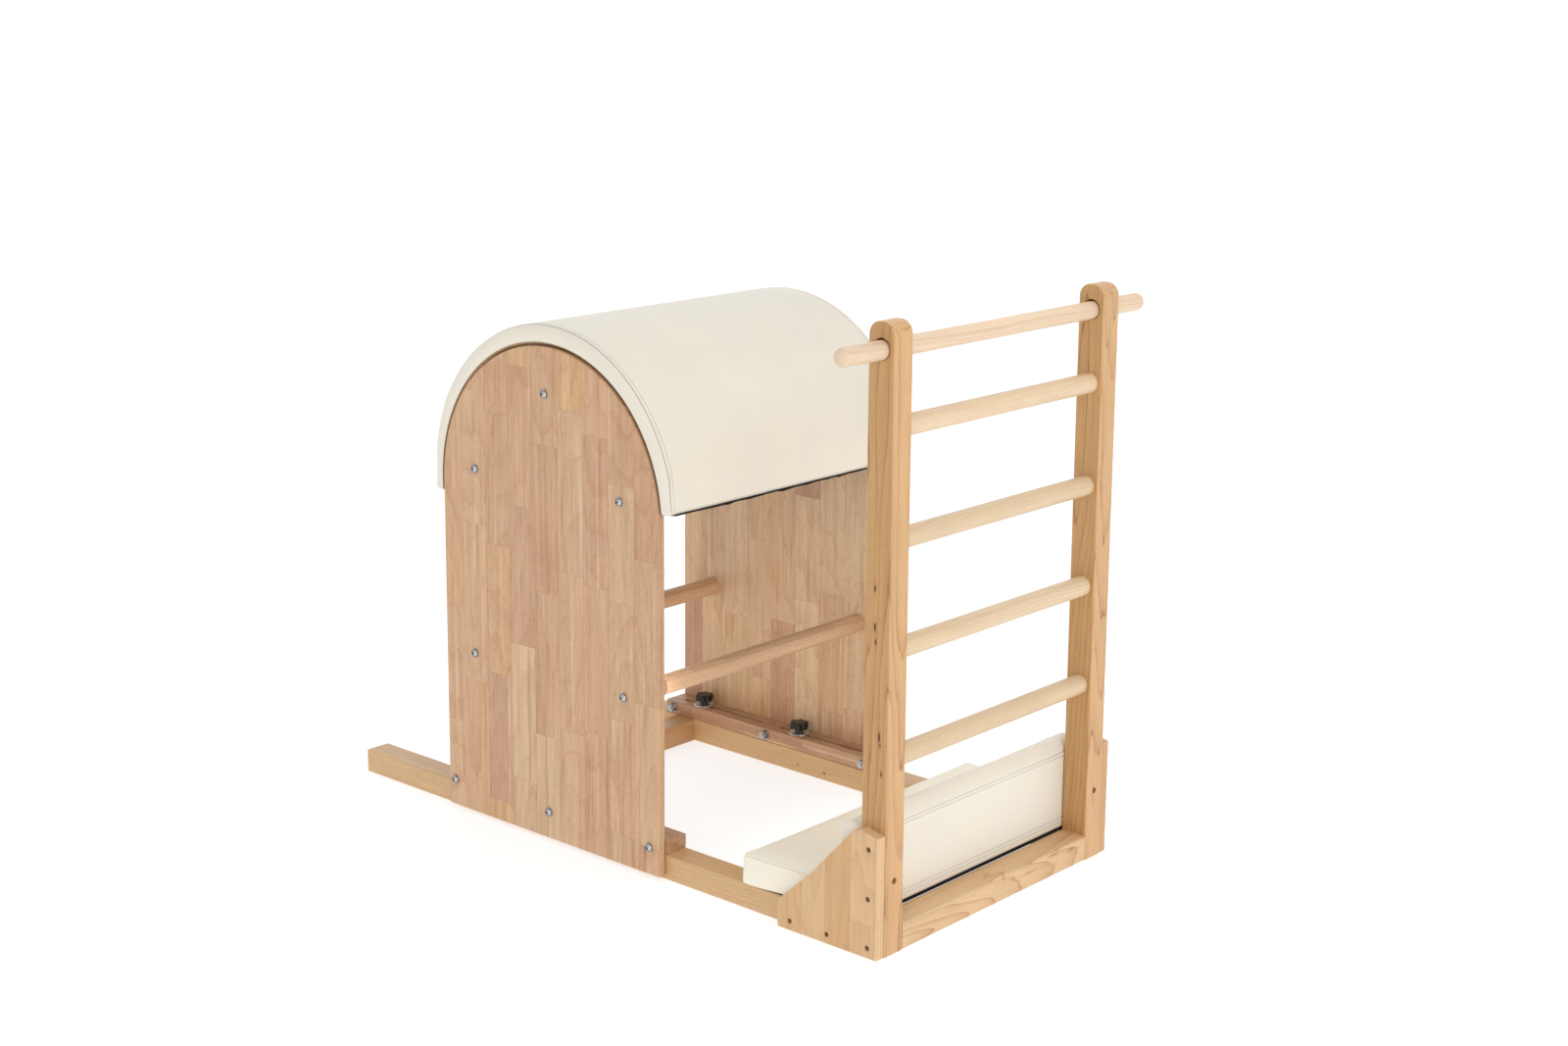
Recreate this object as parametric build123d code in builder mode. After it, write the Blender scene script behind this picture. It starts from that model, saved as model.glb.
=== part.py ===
from build123d import *
import os

# Ladder barrel: a padded half drum on two arched side panels, sliding on a
# rectangular base frame that carries an upright ladder with a kick pad and a
# foot pad.  X runs along the base towards the ladder (front), Y across it
# from the near side to the far side, Z up.  The origin is on the floor,
# midway along the base and across it.  All dimensions are millimetres.

os.makedirs("parts", exist_ok=True)

# ---------------------------------------------------------------- shared sizes
BASE_L = 1300.0            # overall length over base rails and posts
FRONT_X = BASE_L / 2       # front face of the posts
HALF_W = 301.7             # half width over base rails and posts
RAIL_W, RAIL_H = 50.0, 44.0
RAIL_IN = HALF_W - RAIL_W          # inner face of the base rails
RAIL_Y = HALF_W - RAIL_W / 2       # centre line of the base rails
POST_W, POST_D, POST_H = 46.0, 51.6, 1030.0
POST_X = FRONT_X - POST_D          # rear face of the posts
POST_IN = HALF_W - POST_W          # inner face of the posts
POST_Y = HALF_W - POST_W / 2       # centre line of the posts

SIDES = {"near": -1, "far": 1}     # sign of Y on each side

FIT = 0.02                 # radial clearance of glued, screwed and threaded fits
SOCKET_GAP = 0.2           # extra depth of blind sockets

SCREW_R = 2.5              # wood screw shank
SCREW_HEAD_R, SCREW_HEAD_H, SCREW_RIM = 4.5, 3.4, 0.6
SCREW_TIP = 5.0
PILOT_R = SCREW_R + FIT
CLEARANCE_R = SCREW_R + 0.2

BOLT_R = 4.0
BOLT_HOLE_R = BOLT_R + 0.2
INSERT_R = 6.0             # outside of the threaded inserts


# ---------------------------------------------------------------- helpers
def outward(side, x, y, z):
    """Plane at distance y to the given side of the centre line, facing that side."""
    return Plane(origin=(x, side * y, z), x_dir=(1, 0, 0), z_dir=(0, side, 0))


def forward(x, y, z):
    """Plane facing the front."""
    return Plane(origin=(x, y, z), x_dir=(0, 1, 0), z_dir=(1, 0, 0))


def upward(x, y, z):
    """Horizontal plane facing up."""
    return Plane(origin=(x, y, z), x_dir=(1, 0, 0), z_dir=(0, 0, 1))


def rod(plane, radius, length, bore=0.0, mode=Mode.ADD):
    """Rod, or tube if bored, along the plane's normal; a negative length goes against it."""
    with BuildSketch(plane) as section:
        Circle(radius)
        if bore:
            Circle(bore, mode=Mode.SUBTRACT)
    extrude(section.sketch, amount=length, mode=mode)


def drill(plane, radius, depth):
    """Cut a round hole along the plane's normal; a negative depth goes against it."""
    rod(plane, radius, depth, mode=Mode.SUBTRACT)


def wood_screw(origin, direction, length):
    """Countersunk wood screw with its head at origin, facing along direction."""
    head_dir = Vector(*direction)
    side_dir = Vector(0, 0, 1) if abs(head_dir.Z) < 0.5 else Vector(1, 0, 0)
    normal = side_dir.cross(head_dir)
    with BuildSketch(Plane(origin=origin, x_dir=side_dir, z_dir=normal)) as section:
        with BuildLine():
            Polyline((0, 0), (SCREW_HEAD_R, 0), (SCREW_HEAD_R, -SCREW_RIM),
                     (SCREW_R, -SCREW_HEAD_H), (SCREW_R, -(length - SCREW_TIP)),
                     (0, -length), close=True)
        make_face()
    revolve(section.sketch, axis=Axis(origin, direction))


def save(builder, name):
    """Label the piece and write its STEP file."""
    builder.part.label = name
    export_step(builder.part, "parts/" + name + ".step")


# ---------------------------------------------------------------- frame joints
GUSSET_T = 19.4
GUSSET_FACE = HALF_W + GUSSET_T    # outer face of the gussets
GUSSET_POST_SCREWS = [(FRONT_X - 20.0, 184.4), (FRONT_X - 20.0, 100.6),
                      (FRONT_X - 20.0, 17.6)]                            # x, z
GUSSET_RAIL_SCREWS = [(FRONT_X - 105.9, 16.5), (FRONT_X - 186.0, 16.5)]  # x, z
GUSSET_SCREWS = GUSSET_POST_SCREWS + GUSSET_RAIL_SCREWS
GUSSET_SCREW_L = 34.0
GUSSET_PILOT_L = GUSSET_SCREW_L - 8.0

KICK_SCREW_Z = 124.7
FOOT_SCREW_X = [390.0, 500.0]

REAR_CROSS_X = FRONT_X - 958.6     # front face of the rear cross rail
REAR_CROSS_D = 50.0
CROSS_H = 45.0                     # front cross rail height

# Wooden dowels: positions, and how far each end reaches into its piece.
DOWEL_R = 4.0
SOCKET_R = DOWEL_R + FIT
DOWEL_DEEP = 28.0                  # into the end grain of every joint
END_DOWEL_TIP = 18.0               # base rail dowels, into the post
FRONT_DOWEL_TIP = 20.0             # front cross rail dowels, into the post
REAR_DOWEL_TIP = 22.0              # rear cross rail dowels, into the base rail
END_DOWEL_Y = [RAIL_Y - 10.0, RAIL_Y + 10.0]
END_DOWEL_Z = RAIL_H / 2
FRONT_DOWELS = [(FRONT_X - 24.0, 12.0), (FRONT_X - 24.0, 33.0)]          # x, z
REAR_DOWELS = [(REAR_CROSS_X - 13.0, RAIL_H / 2), (REAR_CROSS_X - 37.0, RAIL_H / 2)]

# Clamp knob positions and the insert bores below them.
KNOB_X = {"rear": -305.5, "front": -48.0}
INSERT_BORE_L = 24.0
KNOB_INSERT_Z0 = RAIL_H - 23.0     # lower end of the knob inserts
RELIEF_R, RELIEF_L = 4.6, 9.0      # room for the stud tips

# ---------------------------------------------------------------- base rails
FOOT_COUNTERBORE_R, FOOT_COUNTERBORE_L = 5.2, 10.0


def base_rail(side_name, side):
    """Rail resting on the floor and butting against the rear of the post."""
    with BuildPart() as rail:
        with BuildSketch(Plane.YZ.offset(-FRONT_X)):
            with Locations((side * RAIL_Y, RAIL_H / 2)):
                Rectangle(RAIL_W, RAIL_H)
        extrude(amount=POST_X + FRONT_X)
        fillet(rail.edges().filter_by(Axis.X), radius=2.0)
        fillet(rail.faces().sort_by(Axis.X)[0].edges(), radius=1.5)
        # blind bores for the knob inserts, with relief for the stud tips
        for x in KNOB_X.values():
            drill(upward(x, side * RAIL_Y, RAIL_H), INSERT_R + FIT, -INSERT_BORE_L)
        for x in KNOB_X.values():
            drill(upward(x, side * RAIL_Y, KNOB_INSERT_Z0), RELIEF_R, -RELIEF_L)
        for x, z in GUSSET_RAIL_SCREWS:
            drill(outward(side, x, HALF_W, z), PILOT_R, -GUSSET_PILOT_L)
        # foot pad screws, counterbored from below
        for x in FOOT_SCREW_X:
            drill(upward(x, side * RAIL_Y, 0), FOOT_COUNTERBORE_R, FOOT_COUNTERBORE_L)
            drill(upward(x, side * RAIL_Y, 5), CLEARANCE_R, RAIL_H)
        # dowel sockets: post end, then rear cross rail
        for y in END_DOWEL_Y:
            drill(forward(POST_X, side * y, END_DOWEL_Z), SOCKET_R, -(DOWEL_DEEP + SOCKET_GAP))
        for x, z in REAR_DOWELS:
            drill(outward(side, x, RAIL_IN, z), SOCKET_R, REAR_DOWEL_TIP + SOCKET_GAP)
    save(rail, "base_rail_" + side_name)


# ---------------------------------------------------------------- ladder posts
POST_TOP_R = 22.0          # rounding of the post head
POST_EDGE_R = 3.0

RUNG_R, RUNG_X = 17.5, FRONT_X - 25.0
RUNG_Z = [321.6, 500.4, 679.6, 859.7]
RUNG_SEAT = 15.0           # length of rung inside each post

TOP_BAR_R, TOP_BAR_X, TOP_BAR_Z = 15.5, FRONT_X - 26.5, 985.2
TOP_BAR_HALF = 402.5       # half length of the top bar
TOP_BAR_END_R = 12.5
BORE_R = 17.5              # oversize bore; the bar lies in the bottom of it
BORE_X = TOP_BAR_X + 0.96  # the two offsets leave 0.08 at the contact
BORE_Z = TOP_BAR_Z + 1.66

KICK_COUNTERBORE_R, KICK_COUNTERBORE_L = 5.5, 12.0


def ladder_post(side_name, side):
    """Square post with a rounded head."""
    with BuildPart() as post:
        with BuildSketch(Plane.XY):
            with Locations((FRONT_X - POST_D / 2, side * POST_Y)):
                Rectangle(POST_D, POST_W)
        extrude(amount=POST_H)
        top_edges = post.faces().sort_by(Axis.Z)[-1].edges().filter_by(Axis.Y)
        fillet(top_edges, radius=POST_TOP_R)
        fillet(post.edges().filter_by(Axis.Z), radius=POST_EDGE_R)
        # through bore for the top bar, mouths eased on both faces
        drill(outward(side, BORE_X, POST_IN - 1, BORE_Z), BORE_R, POST_W + 2)
        mouths = post.edges().filter_by(GeomType.CIRCLE).filter_by(
            lambda e: abs(e.radius - BORE_R) < 1e-3)
        chamfer(mouths, length=0.6)
        for z in RUNG_Z:
            drill(outward(side, RUNG_X, POST_IN, z), RUNG_R + FIT, RUNG_SEAT + SOCKET_GAP)
        for x, z in GUSSET_POST_SCREWS:
            drill(outward(side, x, HALF_W, z), PILOT_R, -GUSSET_PILOT_L)
        # kick pad screw, counterbored from the front
        drill(forward(FRONT_X, side * POST_Y, KICK_SCREW_Z),
              KICK_COUNTERBORE_R, -KICK_COUNTERBORE_L)
        drill(forward(FRONT_X - 5, side * POST_Y, KICK_SCREW_Z), CLEARANCE_R, -POST_D)
        # dowel sockets: base rail end, then front cross rail
        for y in END_DOWEL_Y:
            drill(forward(POST_X, side * y, END_DOWEL_Z), SOCKET_R, END_DOWEL_TIP + SOCKET_GAP)
        for x, z in FRONT_DOWELS:
            drill(outward(side, x, POST_IN, z), SOCKET_R, FRONT_DOWEL_TIP + SOCKET_GAP)
    save(post, "ladder_post_" + side_name)


# ---------------------------------------------------------------- gussets
GUSSET_X1 = FRONT_X - 1.6          # front edge
GUSSET_X0 = GUSSET_X1 - 211.5      # rear edge
GUSSET_Z0 = 0.3
# Corner x, z and rounding radius (0 leaves the corner square).
GUSSET_OUTLINE = [
    (GUSSET_X1, GUSSET_Z0, 0),
    (GUSSET_X0, GUSSET_Z0, 0),
    (GUSSET_X0, 47.0, 12.0),
    (FRONT_X - 143.0, 111.0, 180.0),
    (FRONT_X - 52.0, 209.0, 14.0),
    (FRONT_X - 36.0, 214.0, 8.0),
    (GUSSET_X1, 206.0, 3.0),
]
GUSSET_EDGE_R = 2.0
GUSSET_COUNTERBORE_R, GUSSET_COUNTERBORE_L = 4.75, 9.0


def gusset(side_name, side):
    """Board tying the post to the base rail from outside."""
    with BuildPart() as board:
        with BuildSketch(outward(-1, 0, -side * HALF_W, 0)) as profile:
            with BuildLine():
                Polyline(*[(x, z) for x, z, _ in GUSSET_OUTLINE], close=True)
            make_face()
            corners = profile.vertices()
            for x, z, radius in GUSSET_OUTLINE:
                if radius:
                    fillet(corners.filter_by(
                        lambda v: abs(v.X - x) < 0.5 and abs(v.Y - z) < 0.5), radius=radius)
        extrude(amount=-side * GUSSET_T)
        outer_face = board.faces().filter_by(Axis.Y).sort_by(Axis.Y)[-1 if side > 0 else 0]
        fillet(outer_face.edges(), radius=GUSSET_EDGE_R)
        for x, z in GUSSET_SCREWS:
            drill(outward(side, x, GUSSET_FACE, z), GUSSET_COUNTERBORE_R, -GUSSET_COUNTERBORE_L)
            drill(outward(side, x, GUSSET_FACE - 5, z), CLEARANCE_R, -GUSSET_T)
    save(board, "gusset_" + side_name)


for side_name, side in SIDES.items():
    base_rail(side_name, side)
    ladder_post(side_name, side)
    gusset(side_name, side)


# ---------------------------------------------------------------- cross rails
def cross_rail(name, front_x, depth, height, half_length, edge_radius, dowels):
    """Rail across the frame with dowel sockets in both ends."""
    with BuildPart() as rail:
        with BuildSketch(Plane.XZ.offset(-half_length)):
            with Locations((front_x - depth / 2, height / 2)):
                Rectangle(depth, height)
        extrude(amount=2 * half_length)
        fillet(rail.edges().filter_by(Axis.Y), radius=edge_radius)
        for side in SIDES.values():
            for x, z in dowels:
                drill(outward(side, x, half_length, z), SOCKET_R, -(DOWEL_DEEP + SOCKET_GAP))
    save(rail, name)


cross_rail("front_cross_rail", FRONT_X, POST_D, CROSS_H, POST_IN, 2.5, FRONT_DOWELS)
cross_rail("rear_cross_rail", REAR_CROSS_X, REAR_CROSS_D, RAIL_H, RAIL_IN, 2.0, REAR_DOWELS)

# Glued wooden dowels in the corner joints.
with BuildPart() as frame_dowels:
    for side in SIDES.values():
        for y in END_DOWEL_Y:
            rod(forward(POST_X - DOWEL_DEEP, side * y, END_DOWEL_Z),
                DOWEL_R, DOWEL_DEEP + END_DOWEL_TIP)
        for x, z in FRONT_DOWELS:
            rod(outward(side, x, POST_IN - DOWEL_DEEP, z), DOWEL_R, DOWEL_DEEP + FRONT_DOWEL_TIP)
        for x, z in REAR_DOWELS:
            rod(outward(side, x, RAIL_IN - DOWEL_DEEP, z), DOWEL_R, DOWEL_DEEP + REAR_DOWEL_TIP)
save(frame_dowels, "frame_dowels")

# ---------------------------------------------------------------- rungs and top bar
RUNG_HALF = POST_IN + RUNG_SEAT
for number, z in enumerate(RUNG_Z, start=1):
    with BuildPart() as rung:
        rod(outward(1, RUNG_X, -RUNG_HALF, z), RUNG_R, 2 * RUNG_HALF)
        chamfer(rung.edges().filter_by(GeomType.CIRCLE), length=1.0)
    save(rung, "rung_%d" % number)

with BuildPart() as top_bar:
    rod(outward(1, TOP_BAR_X, -TOP_BAR_HALF, TOP_BAR_Z), TOP_BAR_R, 2 * TOP_BAR_HALF)
    fillet(top_bar.edges().filter_by(GeomType.CIRCLE), radius=TOP_BAR_END_R)
save(top_bar, "top_bar")

# ---------------------------------------------------------------- wood screws
SCREW_SINK = 5.2           # depth of the gusset screw heads below the surface
KICK_SCREW_SINK, KICK_SCREW_L = 8.0, 74.0
FOOT_SCREW_SINK, FOOT_SCREW_L = 6.0, 48.0

with BuildPart() as gusset_screws:
    for side in SIDES.values():
        for x, z in GUSSET_SCREWS:
            wood_screw((x, side * (GUSSET_FACE - SCREW_SINK), z), (0, side, 0), GUSSET_SCREW_L)
save(gusset_screws, "gusset_screws")

with BuildPart() as kick_pad_screws:
    for side in SIDES.values():
        wood_screw((FRONT_X - KICK_SCREW_SINK, side * POST_Y, KICK_SCREW_Z),
                   (1, 0, 0), KICK_SCREW_L)
save(kick_pad_screws, "kick_pad_screws")

with BuildPart() as foot_pad_screws:
    for side in SIDES.values():
        for x in FOOT_SCREW_X:
            wood_screw((x, side * RAIL_Y, FOOT_SCREW_SINK), (0, 0, -1), FOOT_SCREW_L)
save(foot_pad_screws, "foot_pad_screws")

# ---------------------------------------------------------------- kick pad
# Upholstered board behind the posts, rounded along its top.
KICK_T = 46.6
KICK_X1 = POST_X - 0.3             # front face, just clear of the posts
KICK_X0 = KICK_X1 - KICK_T
KICK_XC = KICK_X1 - KICK_T / 2
KICK_Z0, KICK_Z1 = 51.0, 212.5
KICK_ARC_Z = KICK_Z1 - KICK_T / 2  # where the rounded top begins
KICK_HALF = 301.0
KICK_BOARD_X0, KICK_BOARD_T = KICK_X1 - 31.5, 15.0
KICK_BOARD_Z1, KICK_BOARD_HALF = 184.0, 287.0
POCKET_GAP = 0.1                   # between a board and the pocket in its padding

with BuildPart() as kick_pad_board:
    with BuildSketch(Plane.YZ.offset(KICK_BOARD_X0)):
        with Locations((0, (KICK_Z0 + KICK_BOARD_Z1) / 2)):
            Rectangle(2 * KICK_BOARD_HALF, KICK_BOARD_Z1 - KICK_Z0)
    extrude(amount=KICK_BOARD_T)
    for side in SIDES.values():
        drill(forward(KICK_BOARD_X0 + KICK_BOARD_T, side * POST_Y, KICK_SCREW_Z),
              PILOT_R, -KICK_BOARD_T)
save(kick_pad_board, "kick_pad_board")

with BuildPart() as kick_pad:
    with BuildSketch(Plane.XZ.offset(-KICK_HALF)):
        with BuildLine():
            Line((KICK_X1, KICK_Z0), (KICK_X1, KICK_ARC_Z))
            ThreePointArc((KICK_X1, KICK_ARC_Z), (KICK_XC, KICK_Z1), (KICK_X0, KICK_ARC_Z))
            Line((KICK_X0, KICK_ARC_Z), (KICK_X0, KICK_Z0))
            Line((KICK_X0, KICK_Z0), (KICK_X1, KICK_Z0))
        make_face()
    extrude(amount=2 * KICK_HALF)
    # pocket for the board, open at the bottom
    pocket_z0, pocket_z1 = KICK_Z0 - 5, KICK_BOARD_Z1 + POCKET_GAP
    with BuildSketch(Plane.YZ.offset(KICK_BOARD_X0 - POCKET_GAP)):
        with Locations((0, (pocket_z0 + pocket_z1) / 2)):
            Rectangle(2 * (KICK_BOARD_HALF + POCKET_GAP), pocket_z1 - pocket_z0)
    extrude(amount=KICK_BOARD_T + 2 * POCKET_GAP, mode=Mode.SUBTRACT)
    # screw clearance in front of the board and behind it
    for side in SIDES.values():
        drill(forward(KICK_X1 + 1, side * POST_Y, KICK_SCREW_Z), CLEARANCE_R, -18.0)
        drill(forward(KICK_BOARD_X0 + 1, side * POST_Y, KICK_SCREW_Z), CLEARANCE_R, -8.0)
save(kick_pad, "kick_pad")

with BuildPart() as kick_pad_dust_cover:
    with BuildSketch(Plane.XY.offset(KICK_Z0 - 1.1)):
        with Locations((KICK_XC, 0)):
            Rectangle(KICK_T - 8, 2 * KICK_HALF - 10)
    extrude(amount=1.0)
save(kick_pad_dust_cover, "kick_pad_dust_cover")

# ---------------------------------------------------------------- foot pad
# Upholstered board lying on the base rails behind the kick pad's ladder end.
FOOT_X0, FOOT_X1 = FRONT_X - 308.0, FRONT_X - 100.0
FOOT_XC, FOOT_D = (FOOT_X0 + FOOT_X1) / 2, FOOT_X1 - FOOT_X0
FOOT_Z0, FOOT_Z1, FOOT_HALF = 45.0, 100.0, 300.5
FOOT_WIDE_HALF, FOOT_WIDE_X1 = 309.5, FRONT_X - 215.5   # wider behind the gussets
FOOT_CORNER_R, FOOT_TOP_R = 7.0, 5.0
FOOT_BOARD_T, FOOT_BOARD_R = 12.0, 8.0
FOOT_BOARD_D, FOOT_BOARD_W = FOOT_D - 12, 2 * FOOT_HALF - 12

with BuildPart() as foot_pad_board:
    with BuildSketch(Plane.XY.offset(FOOT_Z0)):
        with Locations((FOOT_XC, 0)):
            Rectangle(FOOT_BOARD_D, FOOT_BOARD_W)
    extrude(amount=FOOT_BOARD_T)
    fillet(foot_pad_board.edges().filter_by(Axis.Z), radius=FOOT_BOARD_R)
    for side in SIDES.values():
        for x in FOOT_SCREW_X:
            drill(upward(x, side * RAIL_Y, FOOT_Z0), PILOT_R, 10.0)
save(foot_pad_board, "foot_pad_board")

with BuildPart() as foot_pad:
    with BuildSketch(Plane.XY.offset(FOOT_Z0)):
        with Locations((FOOT_XC, 0)):
            RectangleRounded(FOOT_D, 2 * FOOT_HALF, FOOT_CORNER_R)
        with Locations(((FOOT_X0 + FOOT_WIDE_X1) / 2, 0)):
            RectangleRounded(FOOT_WIDE_X1 - FOOT_X0, 2 * FOOT_WIDE_HALF, FOOT_CORNER_R)
    extrude(amount=FOOT_Z1 - FOOT_Z0)
    fillet(foot_pad.faces().sort_by(Axis.Z)[-1].edges(), radius=FOOT_TOP_R)
    # pocket for the board
    with BuildSketch(Plane.XY.offset(FOOT_Z0)):
        with Locations((FOOT_XC, 0)):
            RectangleRounded(FOOT_BOARD_D + 2 * POCKET_GAP, FOOT_BOARD_W + 2 * POCKET_GAP,
                             FOOT_BOARD_R)
    extrude(amount=FOOT_BOARD_T + POCKET_GAP, mode=Mode.SUBTRACT)
save(foot_pad, "foot_pad")

with BuildPart() as foot_pad_dust_cover:
    with BuildSketch(Plane.XY.offset(FOOT_Z0 - 0.95)):
        with Locations((FOOT_XC, 0)):
            RectangleRounded(FOOT_D - 6, 2 * FOOT_HALF - 6, 10.0)
        with Locations(*[(x, side * RAIL_Y) for x in FOOT_SCREW_X for side in (-1, 1)]):
            Circle(CLEARANCE_R, mode=Mode.SUBTRACT)
    extrude(amount=0.9)
save(foot_pad_dust_cover, "foot_pad_dust_cover")

# ---------------------------------------------------------------- clamp knobs
SLIDE_Z0 = RAIL_H + 0.1            # the slide rails ride just above the base rails
SLIDE_H, SLIDE_W = 26.0, 50.0
CLAMP_GAP = 0.05                   # between slide rail, washer and knob
WASHER_Z0, WASHER_T, WASHER_R = SLIDE_Z0 + SLIDE_H + CLAMP_GAP, 2.0, 20.5
KNOB_Z0 = WASHER_Z0 + WASHER_T + CLAMP_GAP
KNOB_HUB_R, KNOB_HUB_H = 8.5, 8.0
KNOB_HEAD_R, KNOB_HEAD_H = 17.6, 13.0
KNOB_LOBES, KNOB_SCALLOP_R = 6, 6.4
KNOB_SCALLOP_PITCH_R = KNOB_HEAD_R + 3.2
STUD_Z0 = RAIL_H - 21.0
STUD_IN_KNOB = 13.0

with BuildPart() as knob_inserts:
    for side in SIDES.values():
        for x in KNOB_X.values():
            rod(upward(x, side * RAIL_Y, KNOB_INSERT_Z0), INSERT_R, 22.9, bore=BOLT_R + 0.05)
save(knob_inserts, "knob_inserts")


def clamp(tag, x, y):
    """Fender washer, threaded stud and lobed knob at one clamping point."""
    with BuildPart() as washer:
        rod(upward(x, y, WASHER_Z0), WASHER_R, WASHER_T, bore=BOLT_R + 0.06)
        rims = washer.edges().filter_by(
            lambda e: e.geom_type == GeomType.CIRCLE and e.radius > 20)
        fillet(rims, radius=0.6)
    save(washer, "clamp_washer_" + tag)

    with BuildPart() as stud:
        rod(upward(x, y, STUD_Z0), BOLT_R, KNOB_Z0 + STUD_IN_KNOB - STUD_Z0)
        chamfer(stud.edges().filter_by(GeomType.CIRCLE).sort_by(Axis.Z)[0], length=1.0)
    save(stud, "knob_stud_" + tag)

    with BuildPart() as knob:
        # the hub widens upwards
        with BuildSketch(Plane.XY.offset(KNOB_Z0)):
            with Locations((x, y)):
                Circle(KNOB_HUB_R)
        extrude(amount=KNOB_HUB_H, taper=-4)
        # the head overlaps the hub slightly so that the two fuse
        with BuildSketch(Plane.XY.offset(KNOB_Z0 + KNOB_HUB_H - 0.01)):
            with Locations((x, y)):
                Circle(KNOB_HEAD_R)
                with PolarLocations(KNOB_SCALLOP_PITCH_R, KNOB_LOBES, start_angle=30):
                    Circle(KNOB_SCALLOP_R, mode=Mode.SUBTRACT)
        extrude(amount=KNOB_HEAD_H)
        fillet(knob.faces().sort_by(Axis.Z)[-1].edges(), radius=2.4)
        drill(upward(x, y, KNOB_Z0 - 1), BOLT_R + FIT, STUD_IN_KNOB + 1.1)
    save(knob, "clamp_knob_" + tag)


for side_name, side in SIDES.items():
    for end, knob_x in KNOB_X.items():
        clamp(side_name + "_" + end, knob_x, side * RAIL_Y)

# ---------------------------------------------------------------- carriage sizes
PANEL_XC, PANEL_R = -113.3, 273.5      # centre line and half width
PANEL_T = 15.8
PANEL_IN = HALF_W + 1.0                # running gap outside the base rails
PANEL_OUT = PANEL_IN + PANEL_T
PANEL_ARC_Z, PANEL_Z0 = 628.0, 7.0     # arch centre height, bottom edge

SLOT_W, SLOT_L = 10.0, 214.7
SLOT_X = [-249.5, 10.5]

BOLT_XC = -116.3                       # centre of the bolt pattern
FORMER_BOLTS = [(BOLT_XC, 818.4), (BOLT_XC - 184.0, 657.5), (BOLT_XC + 184.0, 657.5)]  # x, z
STRETCHER_X = {"rear": BOLT_XC - 191.8, "front": BOLT_XC + 191.8}
STRETCHER_Z, STRETCHER_R = 313.3, 17.5
SLIDE_BOLT_Z = SLIDE_Z0 + SLIDE_H / 2
SLIDE_BOLTS = [(BOLT_XC + step, SLIDE_BOLT_Z) for step in (-253.0, 0.0, 253.0)]
STRETCHER_BOLTS = [(x, STRETCHER_Z) for x in STRETCHER_X.values()]
PANEL_BOLTS = FORMER_BOLTS + STRETCHER_BOLTS + SLIDE_BOLTS

DRUM_Z0 = 500.0                        # drum outlines start here, before trimming
SHELL_ARC_Z, SHELL_R = 629.5, 276.0    # inner face of the bent shell
SHELL_T = 6.0
SHELL_HALF = PANEL_OUT - 6.5
PAD_ARC_Z, PAD_R = 638.0, 302.0        # outer face of the padding
FORMER_T = 18.0


def tunnel(arc_z, radius, y0, y1, z0=DRUM_Z0, mode=Mode.ADD):
    """Arch about the panel centre line on straight sides down to z0, from y0 to y1."""
    x0, x1 = PANEL_XC - radius, PANEL_XC + radius
    with BuildSketch(Plane.XZ.offset(-y0)) as section:
        with BuildLine():
            Line((x0, z0), (x1, z0))
            Line((x1, z0), (x1, arc_z))
            ThreePointArc((x1, arc_z), (PANEL_XC, arc_z + radius), (x0, arc_z))
            Line((x0, arc_z), (x0, z0))
        make_face()
    extrude(section.sketch, amount=-(y1 - y0), mode=mode)


# ---------------------------------------------------------------- panels and slides
def side_panel(side_name, side):
    """Arched panel outside the base rail."""
    with BuildPart() as panel:
        tunnel(PANEL_ARC_Z, PANEL_R, side * PANEL_IN, side * PANEL_OUT, z0=PANEL_Z0)
        fillet(panel.faces().filter_by(Axis.Y).edges(), radius=3.0)
        for x, z in PANEL_BOLTS:
            drill(outward(side, x, PANEL_IN - 1, z), BOLT_HOLE_R, PANEL_T + 2)
    save(panel, "side_panel_" + side_name)


def slide_rail(side_name, side):
    """Slotted rail that rides on top of the base rail."""
    with BuildPart() as rail:
        with BuildSketch(Plane.XY.offset(SLIDE_Z0)):
            with Locations((PANEL_XC, side * (PANEL_IN - SLIDE_W / 2))):
                Rectangle(2 * PANEL_R, SLIDE_W)
        extrude(amount=SLIDE_H)
        fillet(rail.edges().filter_by(Axis.X), radius=2.0)
        with BuildSketch(Plane.XY.offset(SLIDE_Z0 - 1)):
            with Locations(*[(x, side * RAIL_Y) for x in SLOT_X]):
                SlotOverall(SLOT_L, SLOT_W)
        extrude(amount=SLIDE_H + 2, mode=Mode.SUBTRACT)
        for x, z in SLIDE_BOLTS:
            drill(outward(side, x, PANEL_IN, z), BOLT_HOLE_R, -(SLIDE_W + 1))
    save(rail, "slide_rail_" + side_name)


for side_name, side in SIDES.items():
    side_panel(side_name, side)
    slide_rail(side_name, side)

# ---------------------------------------------------------------- stretchers
# Round bars between the side panels, with threaded inserts in the ends.
for end, x in STRETCHER_X.items():
    with BuildPart() as stretcher:
        rod(outward(1, x, -PANEL_IN, STRETCHER_Z), STRETCHER_R, 2 * PANEL_IN)
        for side in SIDES.values():
            drill(outward(side, x, PANEL_IN, STRETCHER_Z), INSERT_R + FIT, -34.0)
    save(stretcher, "stretcher_dowel_" + end)

with BuildPart() as stretcher_inserts:
    for x, z in STRETCHER_BOLTS:
        for side in SIDES.values():
            rod(outward(side, x, PANEL_IN - 1.0, z), INSERT_R, -28.0, bore=BOLT_R + FIT)
save(stretcher_inserts, "stretcher_inserts")

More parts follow.
